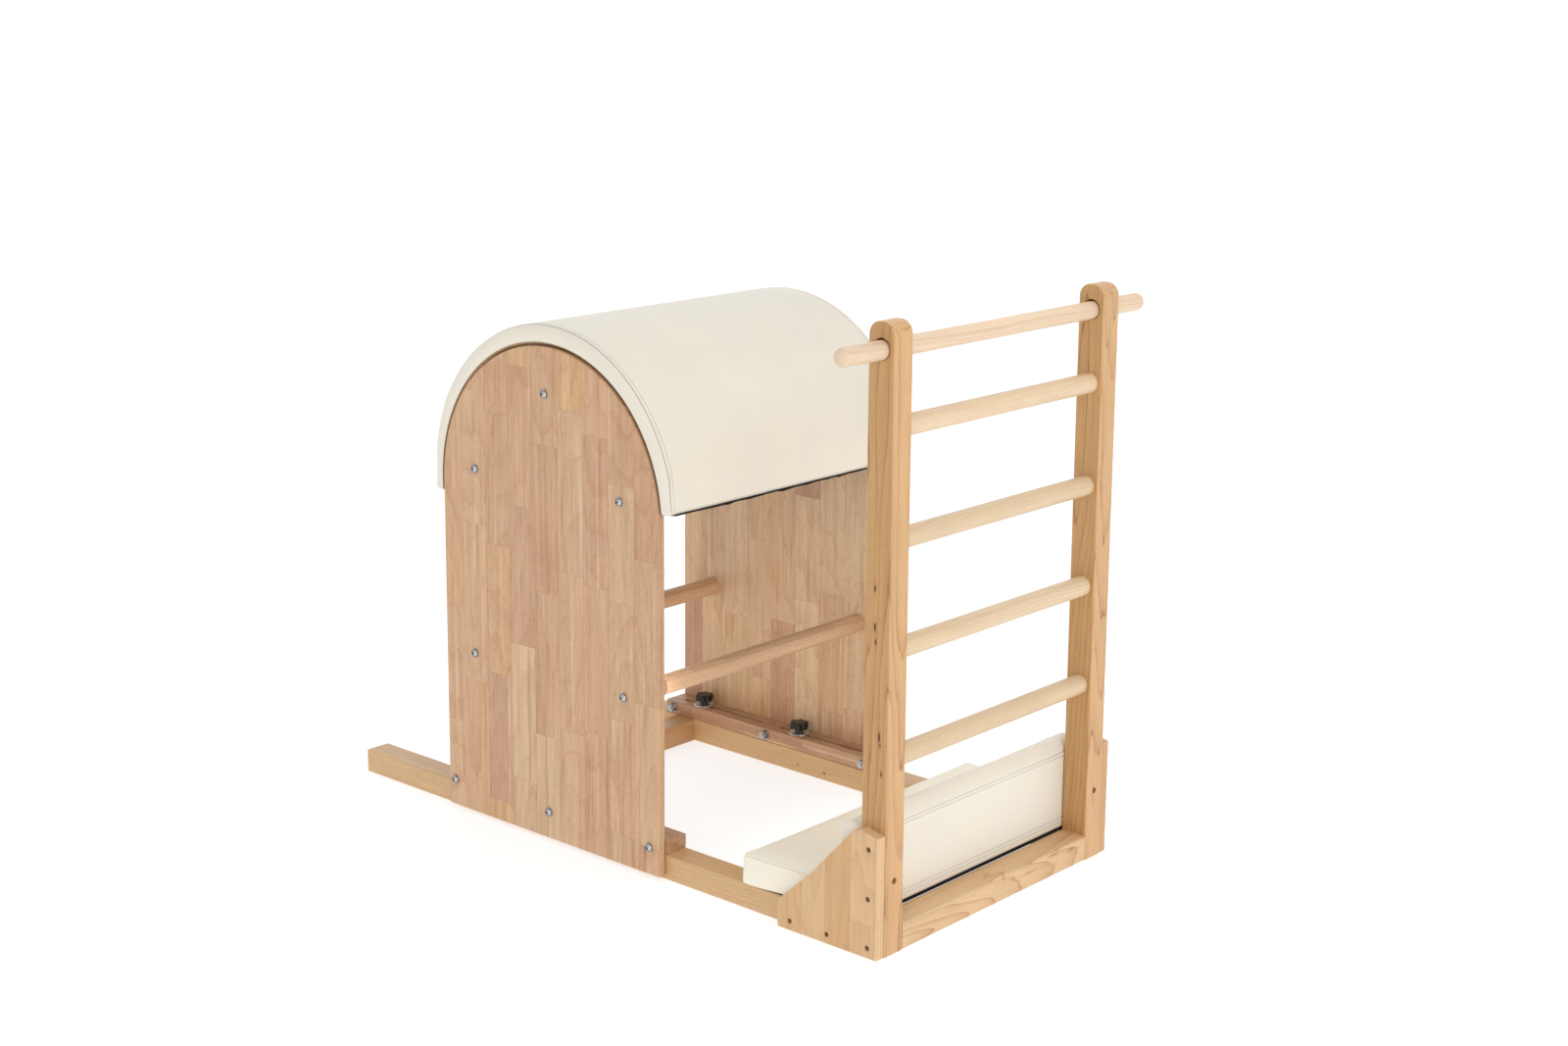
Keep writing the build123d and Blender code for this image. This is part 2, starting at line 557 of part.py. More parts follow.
# ---------------------------------------------------------------- half drum
# Formers, bent shell, padding and dust cover.  The lower edge slopes from
# CUT_FRONT_Z at the front down to CUT_REAR_Z at the rear.
CUT_FRONT_Z, CUT_REAR_Z = 650.0, 600.0
SLOPE = (CUT_FRONT_Z - CUT_REAR_Z) / (2 * PAD_R)
CUT_LIFT = 1.2                         # leaves room for the dust cover


def cut_z(x):
    """Height of the drum's lower edge at x."""
    return CUT_REAR_Z + SLOPE * (x - (PANEL_XC - PAD_R))


def trim_below():
    """Remove everything below the sloping lower edge."""
    x0, x1 = PANEL_XC - 400, PANEL_XC + 400
    with BuildSketch(Plane.XZ.offset(500.0)) as section:
        with BuildLine():
            Polyline((x0, 300), (x1, 300), (x1, cut_z(x1) + CUT_LIFT),
                     (x0, cut_z(x0) + CUT_LIFT), close=True)
        make_face()
    extrude(section.sketch, amount=-1000.0, mode=Mode.SUBTRACT)


FORMER_Y0 = {"near": -PANEL_IN, "far": PANEL_IN - FORMER_T, "middle": -FORMER_T / 2}
OPENING_Z, OPENING_L, OPENING_H = 740.0, 260.0, 110.0

for name, y0 in FORMER_Y0.items():
    with BuildPart() as former:
        tunnel(SHELL_ARC_Z, SHELL_R - 0.05, y0, y0 + FORMER_T)
        trim_below()
        if name == "middle":
            # lightening opening
            with BuildSketch(Plane.XZ.offset(1 - y0)):
                with Locations((PANEL_XC, OPENING_Z)):
                    SlotOverall(OPENING_L, OPENING_H)
            extrude(amount=-(FORMER_T + 2), mode=Mode.SUBTRACT)
        else:
            for x, z in FORMER_BOLTS:
                drill(outward(1, x, y0 - 1, z), BOLT_HOLE_R, FORMER_T + 2)
    save(former, "drum_former_" + name)

with BuildPart() as drum_shell:
    tunnel(SHELL_ARC_Z, SHELL_R + SHELL_T, -SHELL_HALF, SHELL_HALF)
    tunnel(SHELL_ARC_Z, SHELL_R, -SHELL_HALF - 1, SHELL_HALF + 1, mode=Mode.SUBTRACT)
    trim_below()
save(drum_shell, "drum_shell")

with BuildPart() as drum_pad:
    tunnel(PAD_ARC_Z, PAD_R, -PANEL_OUT, PANEL_OUT)
    fillet(drum_pad.faces().filter_by(Axis.Y).edges(), radius=8.0)
    # pocket for the shell, then the opening through both ends
    tunnel(SHELL_ARC_Z, SHELL_R + SHELL_T + POCKET_GAP,
           -SHELL_HALF - POCKET_GAP, SHELL_HALF + POCKET_GAP, mode=Mode.SUBTRACT)
    tunnel(SHELL_ARC_Z, SHELL_R + 0.6, -PANEL_OUT - 1, PANEL_OUT + 1, mode=Mode.SUBTRACT)
    trim_below()
save(drum_pad, "drum_pad")

COVER_X0, COVER_X1 = PANEL_XC - PAD_R + 10, PANEL_XC + PAD_R - 10
COVER_T, COVER_HALF = 1.0, 300.0
with BuildPart() as drum_dust_cover:
    with BuildSketch(Plane.XZ.offset(-COVER_HALF)):
        with BuildLine():
            Polyline((COVER_X0, cut_z(COVER_X0)), (COVER_X1, cut_z(COVER_X1)),
                     (COVER_X1, cut_z(COVER_X1) + COVER_T),
                     (COVER_X0, cut_z(COVER_X0) + COVER_T), close=True)
        make_face()
    extrude(amount=2 * COVER_HALF)
save(drum_dust_cover, "drum_dust_cover")

# ---------------------------------------------------------------- carriage fasteners
BOLT_WASHER_T = 1.6
BOLT_WASHER_GAP = 0.02                 # on each face of a washer
BOLT_WASHER_STACK = BOLT_WASHER_T + 2 * BOLT_WASHER_GAP
HEAD_WASHER_R, NUT_WASHER_R = 8.5, 9.6
BOLT_FACE = PANEL_OUT + BOLT_WASHER_STACK
BOLT_HEAD_R, BOLT_HEAD_H = 7.0, 4.4
SOCKET_APOTHEM = 2.5
FORMER_NUT_Y = PANEL_IN - FORMER_T     # faces the nut washers sit on
SLIDE_NUT_Y = PANEL_IN - SLIDE_W


def button_bolt(side, x, z, length):
    """Button head bolt with a hexagon socket, head facing outwards."""
    with BuildSketch(upward(x, side * BOLT_FACE, z)) as section:
        with BuildLine():
            Polyline((0, side * BOLT_HEAD_H), (0, -side * length), (BOLT_R, -side * length),
                     (BOLT_R, 0), (BOLT_HEAD_R, 0), (BOLT_HEAD_R, side * 0.9))
            ThreePointArc((BOLT_HEAD_R, side * 0.9), (5.4, side * 3.2),
                          (2.6, side * BOLT_HEAD_H))
            Line((2.6, side * BOLT_HEAD_H), (0, side * BOLT_HEAD_H))
        make_face()
    revolve(section.sketch, axis=Axis((x, side * BOLT_FACE, z), (0, 1, 0)))
    with BuildSketch(outward(side, x, BOLT_FACE + 5.0, z)) as socket:
        RegularPolygon(radius=SOCKET_APOTHEM, side_count=6, major_radius=False)
    extrude(socket.sketch, amount=-3.6, mode=Mode.SUBTRACT)


def save_bolts(name, places, length):
    """One piece holding the bolts at the given x, z on both sides."""
    with BuildPart() as bolts:
        for side in SIDES.values():
            for x, z in places:
                button_bolt(side, x, z, length)
    save(bolts, name)


def save_nuts(name, places, seat_y, apothem, height):
    """One piece holding the hexagon nuts on both sides, standing inwards from seat_y."""
    with BuildPart() as nuts:
        for side in SIDES.values():
            for x, z in places:
                with BuildSketch(outward(side, x, seat_y - BOLT_WASHER_STACK, z)) as section:
                    RegularPolygon(radius=apothem, side_count=6, major_radius=False)
                    Circle(BOLT_R + FIT, mode=Mode.SUBTRACT)
                extrude(amount=-height)
    save(nuts, name)


save_bolts("drum_bolts", FORMER_BOLTS, BOLT_WASHER_T + PANEL_T + FORMER_T + 10.0)
save_bolts("stretcher_bolts", STRETCHER_BOLTS, BOLT_WASHER_T + PANEL_T + 26.0)
save_bolts("slide_rail_bolts", SLIDE_BOLTS, BOLT_WASHER_T + PANEL_T + SLIDE_W + 11.0)

with BuildPart() as bolt_washers:
    for side in SIDES.values():
        for x, z in PANEL_BOLTS:
            rod(outward(side, x, PANEL_OUT + BOLT_WASHER_GAP, z),
                HEAD_WASHER_R, BOLT_WASHER_T, bore=BOLT_R + 0.15)
        # washers under the nuts
        for places, seat_y in ((FORMER_BOLTS, FORMER_NUT_Y), (SLIDE_BOLTS, SLIDE_NUT_Y)):
            for x, z in places:
                rod(outward(side, x, seat_y - BOLT_WASHER_GAP, z),
                    NUT_WASHER_R, -BOLT_WASHER_T, bore=BOLT_R + 0.15)
save(bolt_washers, "bolt_washers")

save_nuts("drum_nuts", FORMER_BOLTS, FORMER_NUT_Y, apothem=6.5, height=6.5)
save_nuts("slide_rail_nuts", SLIDE_BOLTS, SLIDE_NUT_Y, apothem=7.2, height=7.5)
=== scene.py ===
# A ladder barrel: a padded drum on two slotted-together wooden sides, and a ladder at the +X end,
# joined by base rails.  It stands on z = 0 with its length along X ("front" is +X, "rear" is -X)
# and its width along Y ("near" is -Y, "far" is +Y).  Cushion sizes are in mm, all else in metres.
import math

import bmesh
import bpy
import numpy as np
from mathutils import Matrix, Vector


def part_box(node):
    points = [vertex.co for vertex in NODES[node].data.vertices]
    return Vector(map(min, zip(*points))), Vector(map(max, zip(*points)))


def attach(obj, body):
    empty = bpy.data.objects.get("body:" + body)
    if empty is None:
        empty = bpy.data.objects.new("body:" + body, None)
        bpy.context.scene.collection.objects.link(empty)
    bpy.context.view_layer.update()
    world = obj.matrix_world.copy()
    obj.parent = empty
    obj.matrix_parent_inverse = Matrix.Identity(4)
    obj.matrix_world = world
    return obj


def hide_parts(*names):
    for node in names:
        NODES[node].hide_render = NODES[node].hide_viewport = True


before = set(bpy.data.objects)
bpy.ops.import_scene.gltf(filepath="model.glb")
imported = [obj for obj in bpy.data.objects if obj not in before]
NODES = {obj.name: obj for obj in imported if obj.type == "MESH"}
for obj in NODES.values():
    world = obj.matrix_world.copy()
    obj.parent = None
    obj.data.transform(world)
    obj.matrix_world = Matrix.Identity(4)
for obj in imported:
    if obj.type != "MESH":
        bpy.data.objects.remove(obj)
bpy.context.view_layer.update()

scene = bpy.context.scene
MM = 0.001
SIDES = ("near", "far")
VIEW_YAW = 39.4          # degrees about Z, shared by the camera and the backdrop


# ------------------------------------------------------------------ colours and shader nodes
def rgb(*levels):
    """An sRGB colour given in 0-255, as linear RGBA."""
    srgb = [level / 255.0 for level in levels]
    return tuple((v / 12.92) if v <= 0.04045 else ((v + 0.055) / 1.055) ** 2.4
                 for v in srgb) + (1.0,)


def scaled(colour, factor):
    return tuple(c * factor for c in colour[:3]) + (1,)


class Net:
    """A material, with short methods that write its node expressions."""

    def __init__(self, name):
        self.material = bpy.data.materials.new(name)
        self.material.use_nodes = True
        self.tree = self.material.node_tree
        self.tree.nodes.clear()
        self.output = self.tree.nodes.new("ShaderNodeOutputMaterial")

    def node(self, kind, **props):
        node = self.tree.nodes.new(kind)
        for key, value in props.items():
            setattr(node, key, value)
        return node

    def put(self, socket, value):
        """Link a socket to another, or set its value; None leaves it alone."""
        if value is None:
            return
        if hasattr(value, "links"):
            self.tree.links.new(value, socket)
        else:
            socket.default_value = value

    def fill(self, node, *values):
        """Put the values in the node's first inputs and return its first output."""
        for socket, value in zip(node.inputs, values):
            self.put(socket, value)
        return node.outputs[0]

    def math(self, operation, *values):
        return self.fill(self.node("ShaderNodeMath", operation=operation), *values)

    def add(self, a, b):
        return self.math("ADD", a, b)

    def sub(self, a, b):
        return self.math("SUBTRACT", a, b)

    def mul(self, a, b):
        return self.math("MULTIPLY", a, b)

    def swing(self, value, amount):
        """A 0-1 value centred on zero and scaled."""
        return self.mul(self.sub(value, 0.5), amount)

    def vector(self, operation, a, b):
        return self.fill(self.node("ShaderNodeVectorMath", operation=operation), a, b)

    def combine(self, x, y, z):
        return self.fill(self.node("ShaderNodeCombineXYZ"), x, y, z)

    def split(self, vector):
        node = self.node("ShaderNodeSeparateXYZ")
        self.fill(node, vector)
        return tuple(node.outputs)

    def noise(self, vector, scale, detail=2.0, rough=0.5):
        node = self.node("ShaderNodeTexNoise")
        self.put(node.inputs["Vector"], vector)
        node.inputs["Scale"].default_value = scale
        node.inputs["Detail"].default_value = detail
        node.inputs["Roughness"].default_value = rough
        return node.outputs["Fac"]

    def white(self, vector):
        """White noise: a random value and a random colour."""
        node = self.node("ShaderNodeTexWhiteNoise")
        self.put(node.inputs["Vector"], vector)
        return node.outputs["Value"], node.outputs["Color"]

    def ramp(self, factor, colours):
        """Evenly spaced colours."""
        node = self.node("ShaderNodeValToRGB")
        elements = node.color_ramp.elements
        while len(elements) < len(colours):
            elements.new(0.5)
        for i, colour in enumerate(colours):
            elements[i].position = i / (len(colours) - 1)
            elements[i].color = colour
        self.put(node.inputs["Fac"], factor)
        return node.outputs["Color"]

    def span(self, value, ends, out=(0.0, 1.0), smooth=False):
        """Map the range `ends` to the range `out`, clamped."""
        node = self.node("ShaderNodeMapRange")
        node.interpolation_type = "SMOOTHSTEP" if smooth else "LINEAR"
        return self.fill(node, value, *ends, *out)

    def mix(self, factor, a, b, blend="MIX"):
        node = self.node("ShaderNodeMix", data_type="RGBA", blend_type=blend)
        self.put(node.inputs[0], factor)
        self.put(node.inputs[6], a)
        self.put(node.inputs[7], b)
        return node.outputs[2]

    def tint(self, factor, colour, by):
        """Multiply the colour by an RGB tint, to the extent of the factor."""
        return self.mix(factor, colour, self.mix(1.0, colour, by + (1,), "MULTIPLY"))

    def coords(self):
        return self.node("ShaderNodeTexCoord").outputs["Object"]

    def bump(self, height, strength, distance):
        node = self.node("ShaderNodeBump")
        node.inputs["Strength"].default_value = strength
        node.inputs["Distance"].default_value = distance
        self.put(node.inputs["Height"], height)
        return node.outputs["Normal"]

    def surface(self, **inputs):
        shader = self.node("ShaderNodeBsdfPrincipled")
        for key, value in inputs.items():
            self.put(shader.inputs[key.replace("_", " ")], value)
        self.tree.links.new(shader.outputs[0], self.output.inputs["Surface"])
        return self.material


def assign(material, *nodes):
    for node in nodes:
        materials = NODES[node].data.materials
        materials.clear()
        materials.append(material)


# ------------------------------------------------------------------ wood
def glued_staves(net, across, along, seed, origin, stave, block):
    """Cut the wood into staves and blocks: stave index, block cell and glue line mask."""
    def steps():
        return net.math("DIVIDE", net.sub(across, origin), stave)

    def to_edge(fraction, width):
        return net.mul(net.math("MINIMUM", fraction, net.sub(1.0, fraction)), width)

    index = net.math("FLOOR", steps())
    fraction = net.math("FRACT", steps())
    # the third coordinates only keep the two random draws apart
    start, _ = net.white(net.combine(index, seed, 3.7))
    stretch, _ = net.white(net.combine(index, seed, 9.1))
    # blocks are 0.75 to 1.35 of the nominal length and start up to 3 m along
    length = net.add(block * 0.75, net.mul(stretch, block * 0.6))
    blocks = net.math("DIVIDE", net.add(along, net.mul(start, 3.0)), length)
    block_index = net.math("FLOOR", blocks)
    block_fraction = net.math("FRACT", blocks)
    cell = net.combine(net.add(index, 0.0), block_index, seed)
    # thin glue lines between staves, fainter ones at the block ends
    side_gap = to_edge(fraction, stave)
    end_gap = to_edge(block_fraction, length)
    side_line = net.span(side_gap, ends=(0.0002, 0.0009), out=(1.0, 0.0))
    end_line = net.mul(net.span(end_gap, ends=(0.0002, 0.0008), out=(1.0, 0.0)), 0.8)
    return index, cell, net.math("MAXIMUM", side_line, end_line)


def dark_spot(net, colour, height, centre, radii, darkness):
    """A ragged ellipsoid mark: a dark sunken core in a brown halo."""
    offsets = net.split(net.vector("SUBTRACT", net.coords(), centre))
    ragged = net.noise(net.coords(), scale=180.0, detail=3.0, rough=0.6)
    squares = [net.math("POWER", net.math("DIVIDE", offset, radius), 2.0)
               for offset, radius in zip(offsets, radii)]
    distance = net.math("SQRT", net.add(net.add(squares[0], squares[1]), squares[2]))
    distance = net.add(distance, net.swing(ragged, amount=1.1))
    core = net.span(distance, ends=(0.35, 0.75), out=(1.0, 0.0), smooth=True)
    halo = net.span(distance, ends=(0.5, 2.1), out=(1.0, 0.0), smooth=True)
    colour = net.tint(net.mul(halo, 0.45), colour, by=(0.80, 0.58, 0.38))
    colour = net.mix(net.mul(core, darkness), colour, rgb(70, 40, 22))
    return colour, net.sub(height, net.mul(core, darkness * 1.6))


def wood(name, grain, across, palette, seed, origin=0.0, offset=(0.0, 0.0), pith=0.05, tilt=0.05,
         rings=230.0, ring_dark=0.22, wave=1.0, stave=None, block=None, streaks=0.16, bands=0.20,
         pores=0.25, veins=0.0, tone=1.0, line=0.0, line_colour=(176, 118, 72), spots=(),
         side_shade_tint=None):
    """Lacquered wood.  Rings are cut from a solid log, so the pattern changes with
    the face: straight on a quartered face, arched where the face is tangential.

    grain, across    axes along the grain and across the face
    origin, offset   log axis: place across, then in depth and along
    pith, tilt       distance of the pith (m) and largest slope of the log
    rings, wave      rings per metre and how much they wander
    stave, block     width and nominal length of glued pieces (m)
    streaks to veins, tone, line   strengths of the layers of colour
    """
    net = Net(name)
    axes = dict(zip("XYZ", net.split(net.coords())))
    along = axes[grain]
    cross = axes[across]
    depth = axes[[a for a in "XYZ" if a not in (grain, across)][0]]
    if stave:
        index, cell, glue = glued_staves(net, cross, along, seed, origin, stave, block)
    else:
        cell = net.combine(seed, seed * 1.7 + 2.0, 5.3)   # any fixed cell, set by the seed

    # each piece draws its own colour, texture shift, pith place and slope
    shade, draw = net.white(cell)
    draws = net.split(draw)
    _, draw = net.white(net.combine(*draws))
    pith_draw, slope_draw, _ = net.split(draw)
    shift = net.combine(*[net.mul(d, reach) for d, reach in zip(draws, (7.0, 5.0, 9.0))])

    def stretched(factor):
        """Coordinates compressed along the grain, so that noise runs in long streaks."""
        return net.vector("ADD", net.combine(cross, depth, net.mul(along, factor)), shift)

    # distance from the pith, warped, cut into rings that darken outwards
    slow = net.noise(stretched(0.12), scale=9.0)
    wobble = net.noise(stretched(0.10), scale=38.0)
    warp = net.add(net.swing(slow, amount=0.040 * wave), net.swing(wobble, amount=0.006 * wave))
    pith_cross = net.add(net.swing(pith_draw, amount=stave * 1.2 if stave else 0.06), 0.0)
    if stave:
        centre = net.add(origin, net.mul(net.add(index, 0.5), stave))
    else:
        centre = origin
    from_cross = net.sub(net.sub(cross, centre), pith_cross)
    slope = net.swing(slope_draw, amount=2.0 * tilt)
    from_depth = net.add(net.add(net.sub(depth, offset[0]), pith),
                         net.mul(slope, net.sub(along, offset[1])))
    radius = net.math("SQRT", net.add(net.mul(from_cross, from_cross),
                                      net.mul(from_depth, from_depth)))
    phase = net.mul(net.add(radius, warp), rings)
    saw = net.math("FRACT", phase)
    late = net.mul(net.math("POWER", saw, 2.2), net.span(saw, ends=(0.9, 1.0), out=(1.0, 0.0)))
    swell = net.noise(net.combine(net.math("FLOOR", phase), seed, 0.3), scale=3.1, detail=0.0)
    late = net.mul(late, net.span(swell, ends=(0.3, 0.7), out=(0.35, 1.0)))

    # brightness from streaks, bands, figure and pores
    streak = net.noise(stretched(0.03), scale=420.0, rough=0.6)
    band = net.noise(stretched(0.045), scale=85.0, detail=3.0, rough=0.6)
    pore = net.noise(stretched(0.05), scale=1500.0, detail=1.0, rough=0.6)
    pore = net.span(pore, ends=(0.60, 0.72))
    figure = net.noise(stretched(0.6), scale=26.0)
    base = net.ramp(shade, [rgb(*colour) for colour in palette])
    value = net.add(1.0, net.swing(streak, amount=streaks))
    value = net.add(value, net.swing(band, amount=bands))
    value = net.add(value, net.swing(figure, amount=0.10))
    value = net.mul(value, net.sub(1.0, net.mul(pore, pores)))
    value = net.mul(value, tone)
    colour = net.mix(1.0, base, net.combine(value, value, value), "MULTIPLY")
    colour = net.tint(net.mul(late, ring_dark * 2.6), colour, by=(0.70, 0.50, 0.33))

    if veins:       # dark veins, and pale ones between them
        vein = net.noise(stretched(0.030), scale=92.0, detail=4.0, rough=0.66)
        dark = net.span(vein, ends=(0.52, 0.74), smooth=True)
        colour = net.tint(net.mul(dark, veins), colour, by=(0.74, 0.56, 0.42))
        pale = net.span(vein, ends=(0.26, 0.46), out=(1.0, 0.0), smooth=True)
        colour = net.mix(net.mul(pale, veins * 0.85), colour, rgb(234, 203, 160))
    warm = net.span(slow, ends=(0.35, 0.7), out=(0.0, 0.30))
    colour = net.tint(warm, colour, by=(1.05, 0.93, 0.80))
    if line:        # a thin broken line on the outer edge of each ring
        edge = net.mul(net.span(saw, ends=(0.86, 0.955), smooth=True),
                       net.span(saw, ends=(0.965, 1.0), out=(1.0, 0.0)))
        broken = net.noise(stretched(0.5), scale=30.0, rough=0.6)
        broken = net.span(broken, ends=(0.30, 0.62), out=(0.15, 1.0))
        colour = net.mix(net.mul(net.mul(edge, broken), line), colour, rgb(*line_colour))
    # late wood and streaks stand up, pores sink
    height = net.add(net.mul(late, 0.6), net.sub(net.mul(streak, 0.35), net.mul(pore, 0.8)))
    for spot in spots:
        colour, height = dark_spot(net, colour, height, *spot)
    # faces that look along Y are darkened: painted shade on the sides of the post, partly also the
    # darker tone of a tangential face
    if side_shade_tint:
        facing = net.split(net.node("ShaderNodeNewGeometry").outputs["True Normal"])[1]
        facing = net.span(net.math("ABSOLUTE", facing), ends=(0.6, 0.9))
        colour = net.tint(facing, colour, by=side_shade_tint)
    if stave:
        colour = net.tint(net.mul(glue, 0.42), colour, by=(0.55, 0.40, 0.30))
        height = net.sub(height, net.mul(glue, 0.8))
    return net.surface(Base_Color=colour,
                       Roughness=net.add(0.42, net.swing(band, amount=0.14)),
                       Normal=net.bump(height, strength=0.22, distance=0.00035),
                       Coat_Weight=0.18, Coat_Roughness=0.28, Specular_IOR_Level=0.42)


# palettes, sRGB 0-255
PANEL_NEAR = [(206, 163, 130), (210, 170, 132), (217, 179, 141), (204, 162, 126),
              (218, 184, 146), (213, 171, 126), (214, 174, 138), (201, 157, 125)]
PANEL_FAR = [(214, 178, 142), (226, 196, 158), (190, 144, 114), (222, 188, 146),
             (232, 206, 172), (206, 164, 132), (218, 184, 140), (196, 150, 122)]
HONEY = [(212, 168, 116), (218, 176, 126)]
PALE = [(224, 198, 162), (232, 209, 176)]
PINK = [(192, 150, 116), (214, 176, 141)]
ROD = [(212, 171, 134), (224, 187, 150)]
BASE = [(220, 184, 138), (214, 176, 128)]
GUSSET = [(214, 172, 122), (226, 190, 146), (206, 160, 112)]
TOP_BAR = [(229, 204, 174), (234, 212, 186)]
FRONT_CROSS = [(222, 186, 142), (228, 196, 154)]
REAR_CROSS = [(190, 147, 100), (198, 156, 110)]
PLYWOOD = [(200, 168, 126), (190, 152, 108)]

# dark marks: centre (m), radii (m), darkness
NEAR_POST_SPOTS = (
    ((0.6208, -0.3017, 0.5451), (0.0034, 0.004, 0.011), 1.0),
    ((0.6223, -0.3017, 0.5215), (0.0028, 0.004, 0.009), 1.0),
    ((0.6195, -0.3017, 0.6083), (0.0026, 0.003, 0.013), 1.0),
    ((0.6325, -0.3017, 0.3677), (0.0036, 0.004, 0.014), 1.0),
    ((0.6347, -0.3017, 0.3540), (0.0030, 0.004, 0.006), 0.7),
    ((0.6378, -0.3017, 0.3073), (0.0030, 0.003, 0.007), 0.8))
FAR_BASE_SPOTS = (
    ((-0.0289, 0.2517, 0.0158), (0.0040, 0.004, 0.0022), 0.7),
    ((0.0396, 0.2517, 0.0144), (0.0045, 0.004, 0.0028), 0.95))
FRONT_CROSS_SPOTS = (
    ((0.650, 0.2134, 0.0337), (0.004, 0.010, 0.004), 0.45),
    ((0.650, 0.160, 0.038), (0.004, 0.016, 0.0025), 0.35),
    ((0.650, 0.0152, 0.0411), (0.004, 0.004, 0.006), 0.30),
    ((0.650, 0.0887, 0.0276), (0.004, 0.020, 0.0020), 0.30))


def middle(node):
    low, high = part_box(node)
    return (low + high) / 2


def side_woods(k, side):
    """The pieces that come in pairs, one each side; k is 0 near and 1 far."""
    low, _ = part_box("side_panel_" + side)
    assign(wood("panel_wood_" + side, "Z", "X", PANEL_FAR if k else PANEL_NEAR,
                seed=11.0 + 7.0 * k, stave=0.0628, block=0.26, origin=low.x - 0.012,
                rings=170.0, ring_dark=0.15, tilt=0.09, pith=0.040, streaks=0.36, pores=0.44,
                line=0.26, line_colour=(180, 128, 92), bands=0.36, veins=0.82),
           "side_panel_" + side)
    low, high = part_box("side_panel_" + side)
    assign(wood("slide_rail_wood_" + side, "X", "Y", PINK,
                seed=21.0 + k, stave=0.031, block=0.5, origin=low.y if k else high.y,
                rings=300.0, ring_dark=0.34, tilt=0.02, pith=0.05, streaks=0.60, pores=0.6,
                line=0.40, line_colour=(132, 88, 60), bands=0.45, veins=0.8, tone=0.97),
           "slide_rail_" + side)
    assign(wood("post_wood_" + side, "Z", "Y", HONEY,
                seed=31.0 + k, origin=0.28 if k else -0.28, offset=(0.62, 0.5),
                rings=125.0, ring_dark=0.22, tilt=0.10, pith=0.02, streaks=0.34, wave=1.9,
                line=0.80, line_colour=(158, 102, 58), side_shade_tint=(0.84, 0.80, 0.68),
                spots=() if k else NEAR_POST_SPOTS),
           "ladder_post_" + side)
    assign(wood("base_rail_wood_" + side, "X", "Z", BASE,
                seed=41.0 + k, origin=0.02, offset=(0.28 if k else -0.28, 0.0),
                rings=170.0, ring_dark=0.20, tilt=0.06, pith=0.03, streaks=0.24,
                line=0.35, line_colour=(170, 118, 72), spots=FAR_BASE_SPOTS if k else ()),
           "base_rail_" + side)
    assign(wood("gusset_wood_" + side, "Z", "X", GUSSET,
                seed=51.0 + k, stave=0.052, block=2.4, origin=0.437,
                rings=200.0, ring_dark=0.15, tilt=0.07, pith=0.03, streaks=0.22,
                line=0.14, line_colour=(184, 132, 88)),
           "gusset_" + side)


def cross_woods():
    """The pieces that run across, along Y."""
    for i in range(4):
        rung = "rung_%d" % (i + 1)
        centre = middle(rung)
        assign(wood("rung_wood_%d" % (i + 1), "Y", "X", PALE, seed=61.0 + i,
                    origin=centre.x, offset=(centre.z, 0.0), ring_dark=0.14, pith=0.02,
                    pores=0.12), rung)
    centre = middle("top_bar")
    assign(wood("top_bar_wood", "Y", "X", TOP_BAR, seed=71.0,
                origin=centre.x, offset=(centre.z, 0.0), rings=190.0, ring_dark=0.14,
                line=0.2, tilt=0.04, pith=0.02, pores=0.06), "top_bar")
    assign(wood("front_cross_wood", "Y", "Z", FRONT_CROSS, seed=83.0,
                origin=0.022, offset=(0.63, 0.05), rings=105.0, ring_dark=0.32, tilt=0.12,
                pith=0.018, streaks=0.26, wave=1.7, line=0.78, line_colour=(180, 122, 68),
                spots=FRONT_CROSS_SPOTS), "front_cross_rail")
    assign(wood("rear_cross_wood", "Y", "Z", REAR_CROSS, seed=91.0,
                origin=0.022, offset=(-0.33, 0.0), rings=240.0), "rear_cross_rail")
    for i, end in enumerate(("front", "rear")):
        dowel = "stretcher_dowel_" + end
        centre = middle(dowel)
        assign(wood("stretcher_wood_" + end, "Y", "X", ROD, seed=101.0 + i,
                    stave=0.024, block=0.5, origin=centre.x - 0.011, offset=(centre.z, 0.0),
                    rings=260.0, ring_dark=0.18, pith=0.03, streaks=0.30, pores=0.35,
                    line=0.2), dowel)
    assign(wood("dowel_wood", "Y", "X", PALE, seed=111.0), "frame_dowels")


for k, side in enumerate(SIDES):
    side_woods(k, side)
cross_woods()
assign(wood("plywood", "X", "Y", PLYWOOD, seed=121.0, rings=120.0),
       "kick_pad_board", "foot_pad_board", "drum_shell",
       "drum_former_near", "drum_former_middle", "drum_former_far")


# ------------------------------------------------------------------ metal, plastic, fabric
def metal(name, colour, rough, scratch=0.12, rim=0.0):
    """Metal with cloudy tone and fine scratches; rim paints shade on it at glancing angles, as a
    darker reflection.
    """
    net = Net(name)
    place = net.coords()
    fine = net.noise(place, scale=900.0, detail=3.0, rough=0.6)
    cloud = net.noise(place, scale=160.0)
    shade = net.mix(net.span(cloud, ends=(0.35, 0.7), out=(0.0, 0.35)),
                    colour, scaled(colour, 0.72))
    # painted shade: the colour darkens towards glancing angles, standing for a darker reflection
    if rim:
        weight = net.node("ShaderNodeLayerWeight")
        weight.inputs["Blend"].default_value = 0.45
        edge = net.span(weight.outputs["Facing"], ends=(0.12, 0.55), smooth=True)
        shade = net.mix(net.mul(edge, rim), shade, scaled(colour, 0.22))
    return net.surface(Base_Color=shade, Metallic=1.0,
                       Roughness=net.add(rough, net.swing(fine, amount=scratch)),
                       Normal=net.bump(fine, strength=0.12, distance=0.0001))


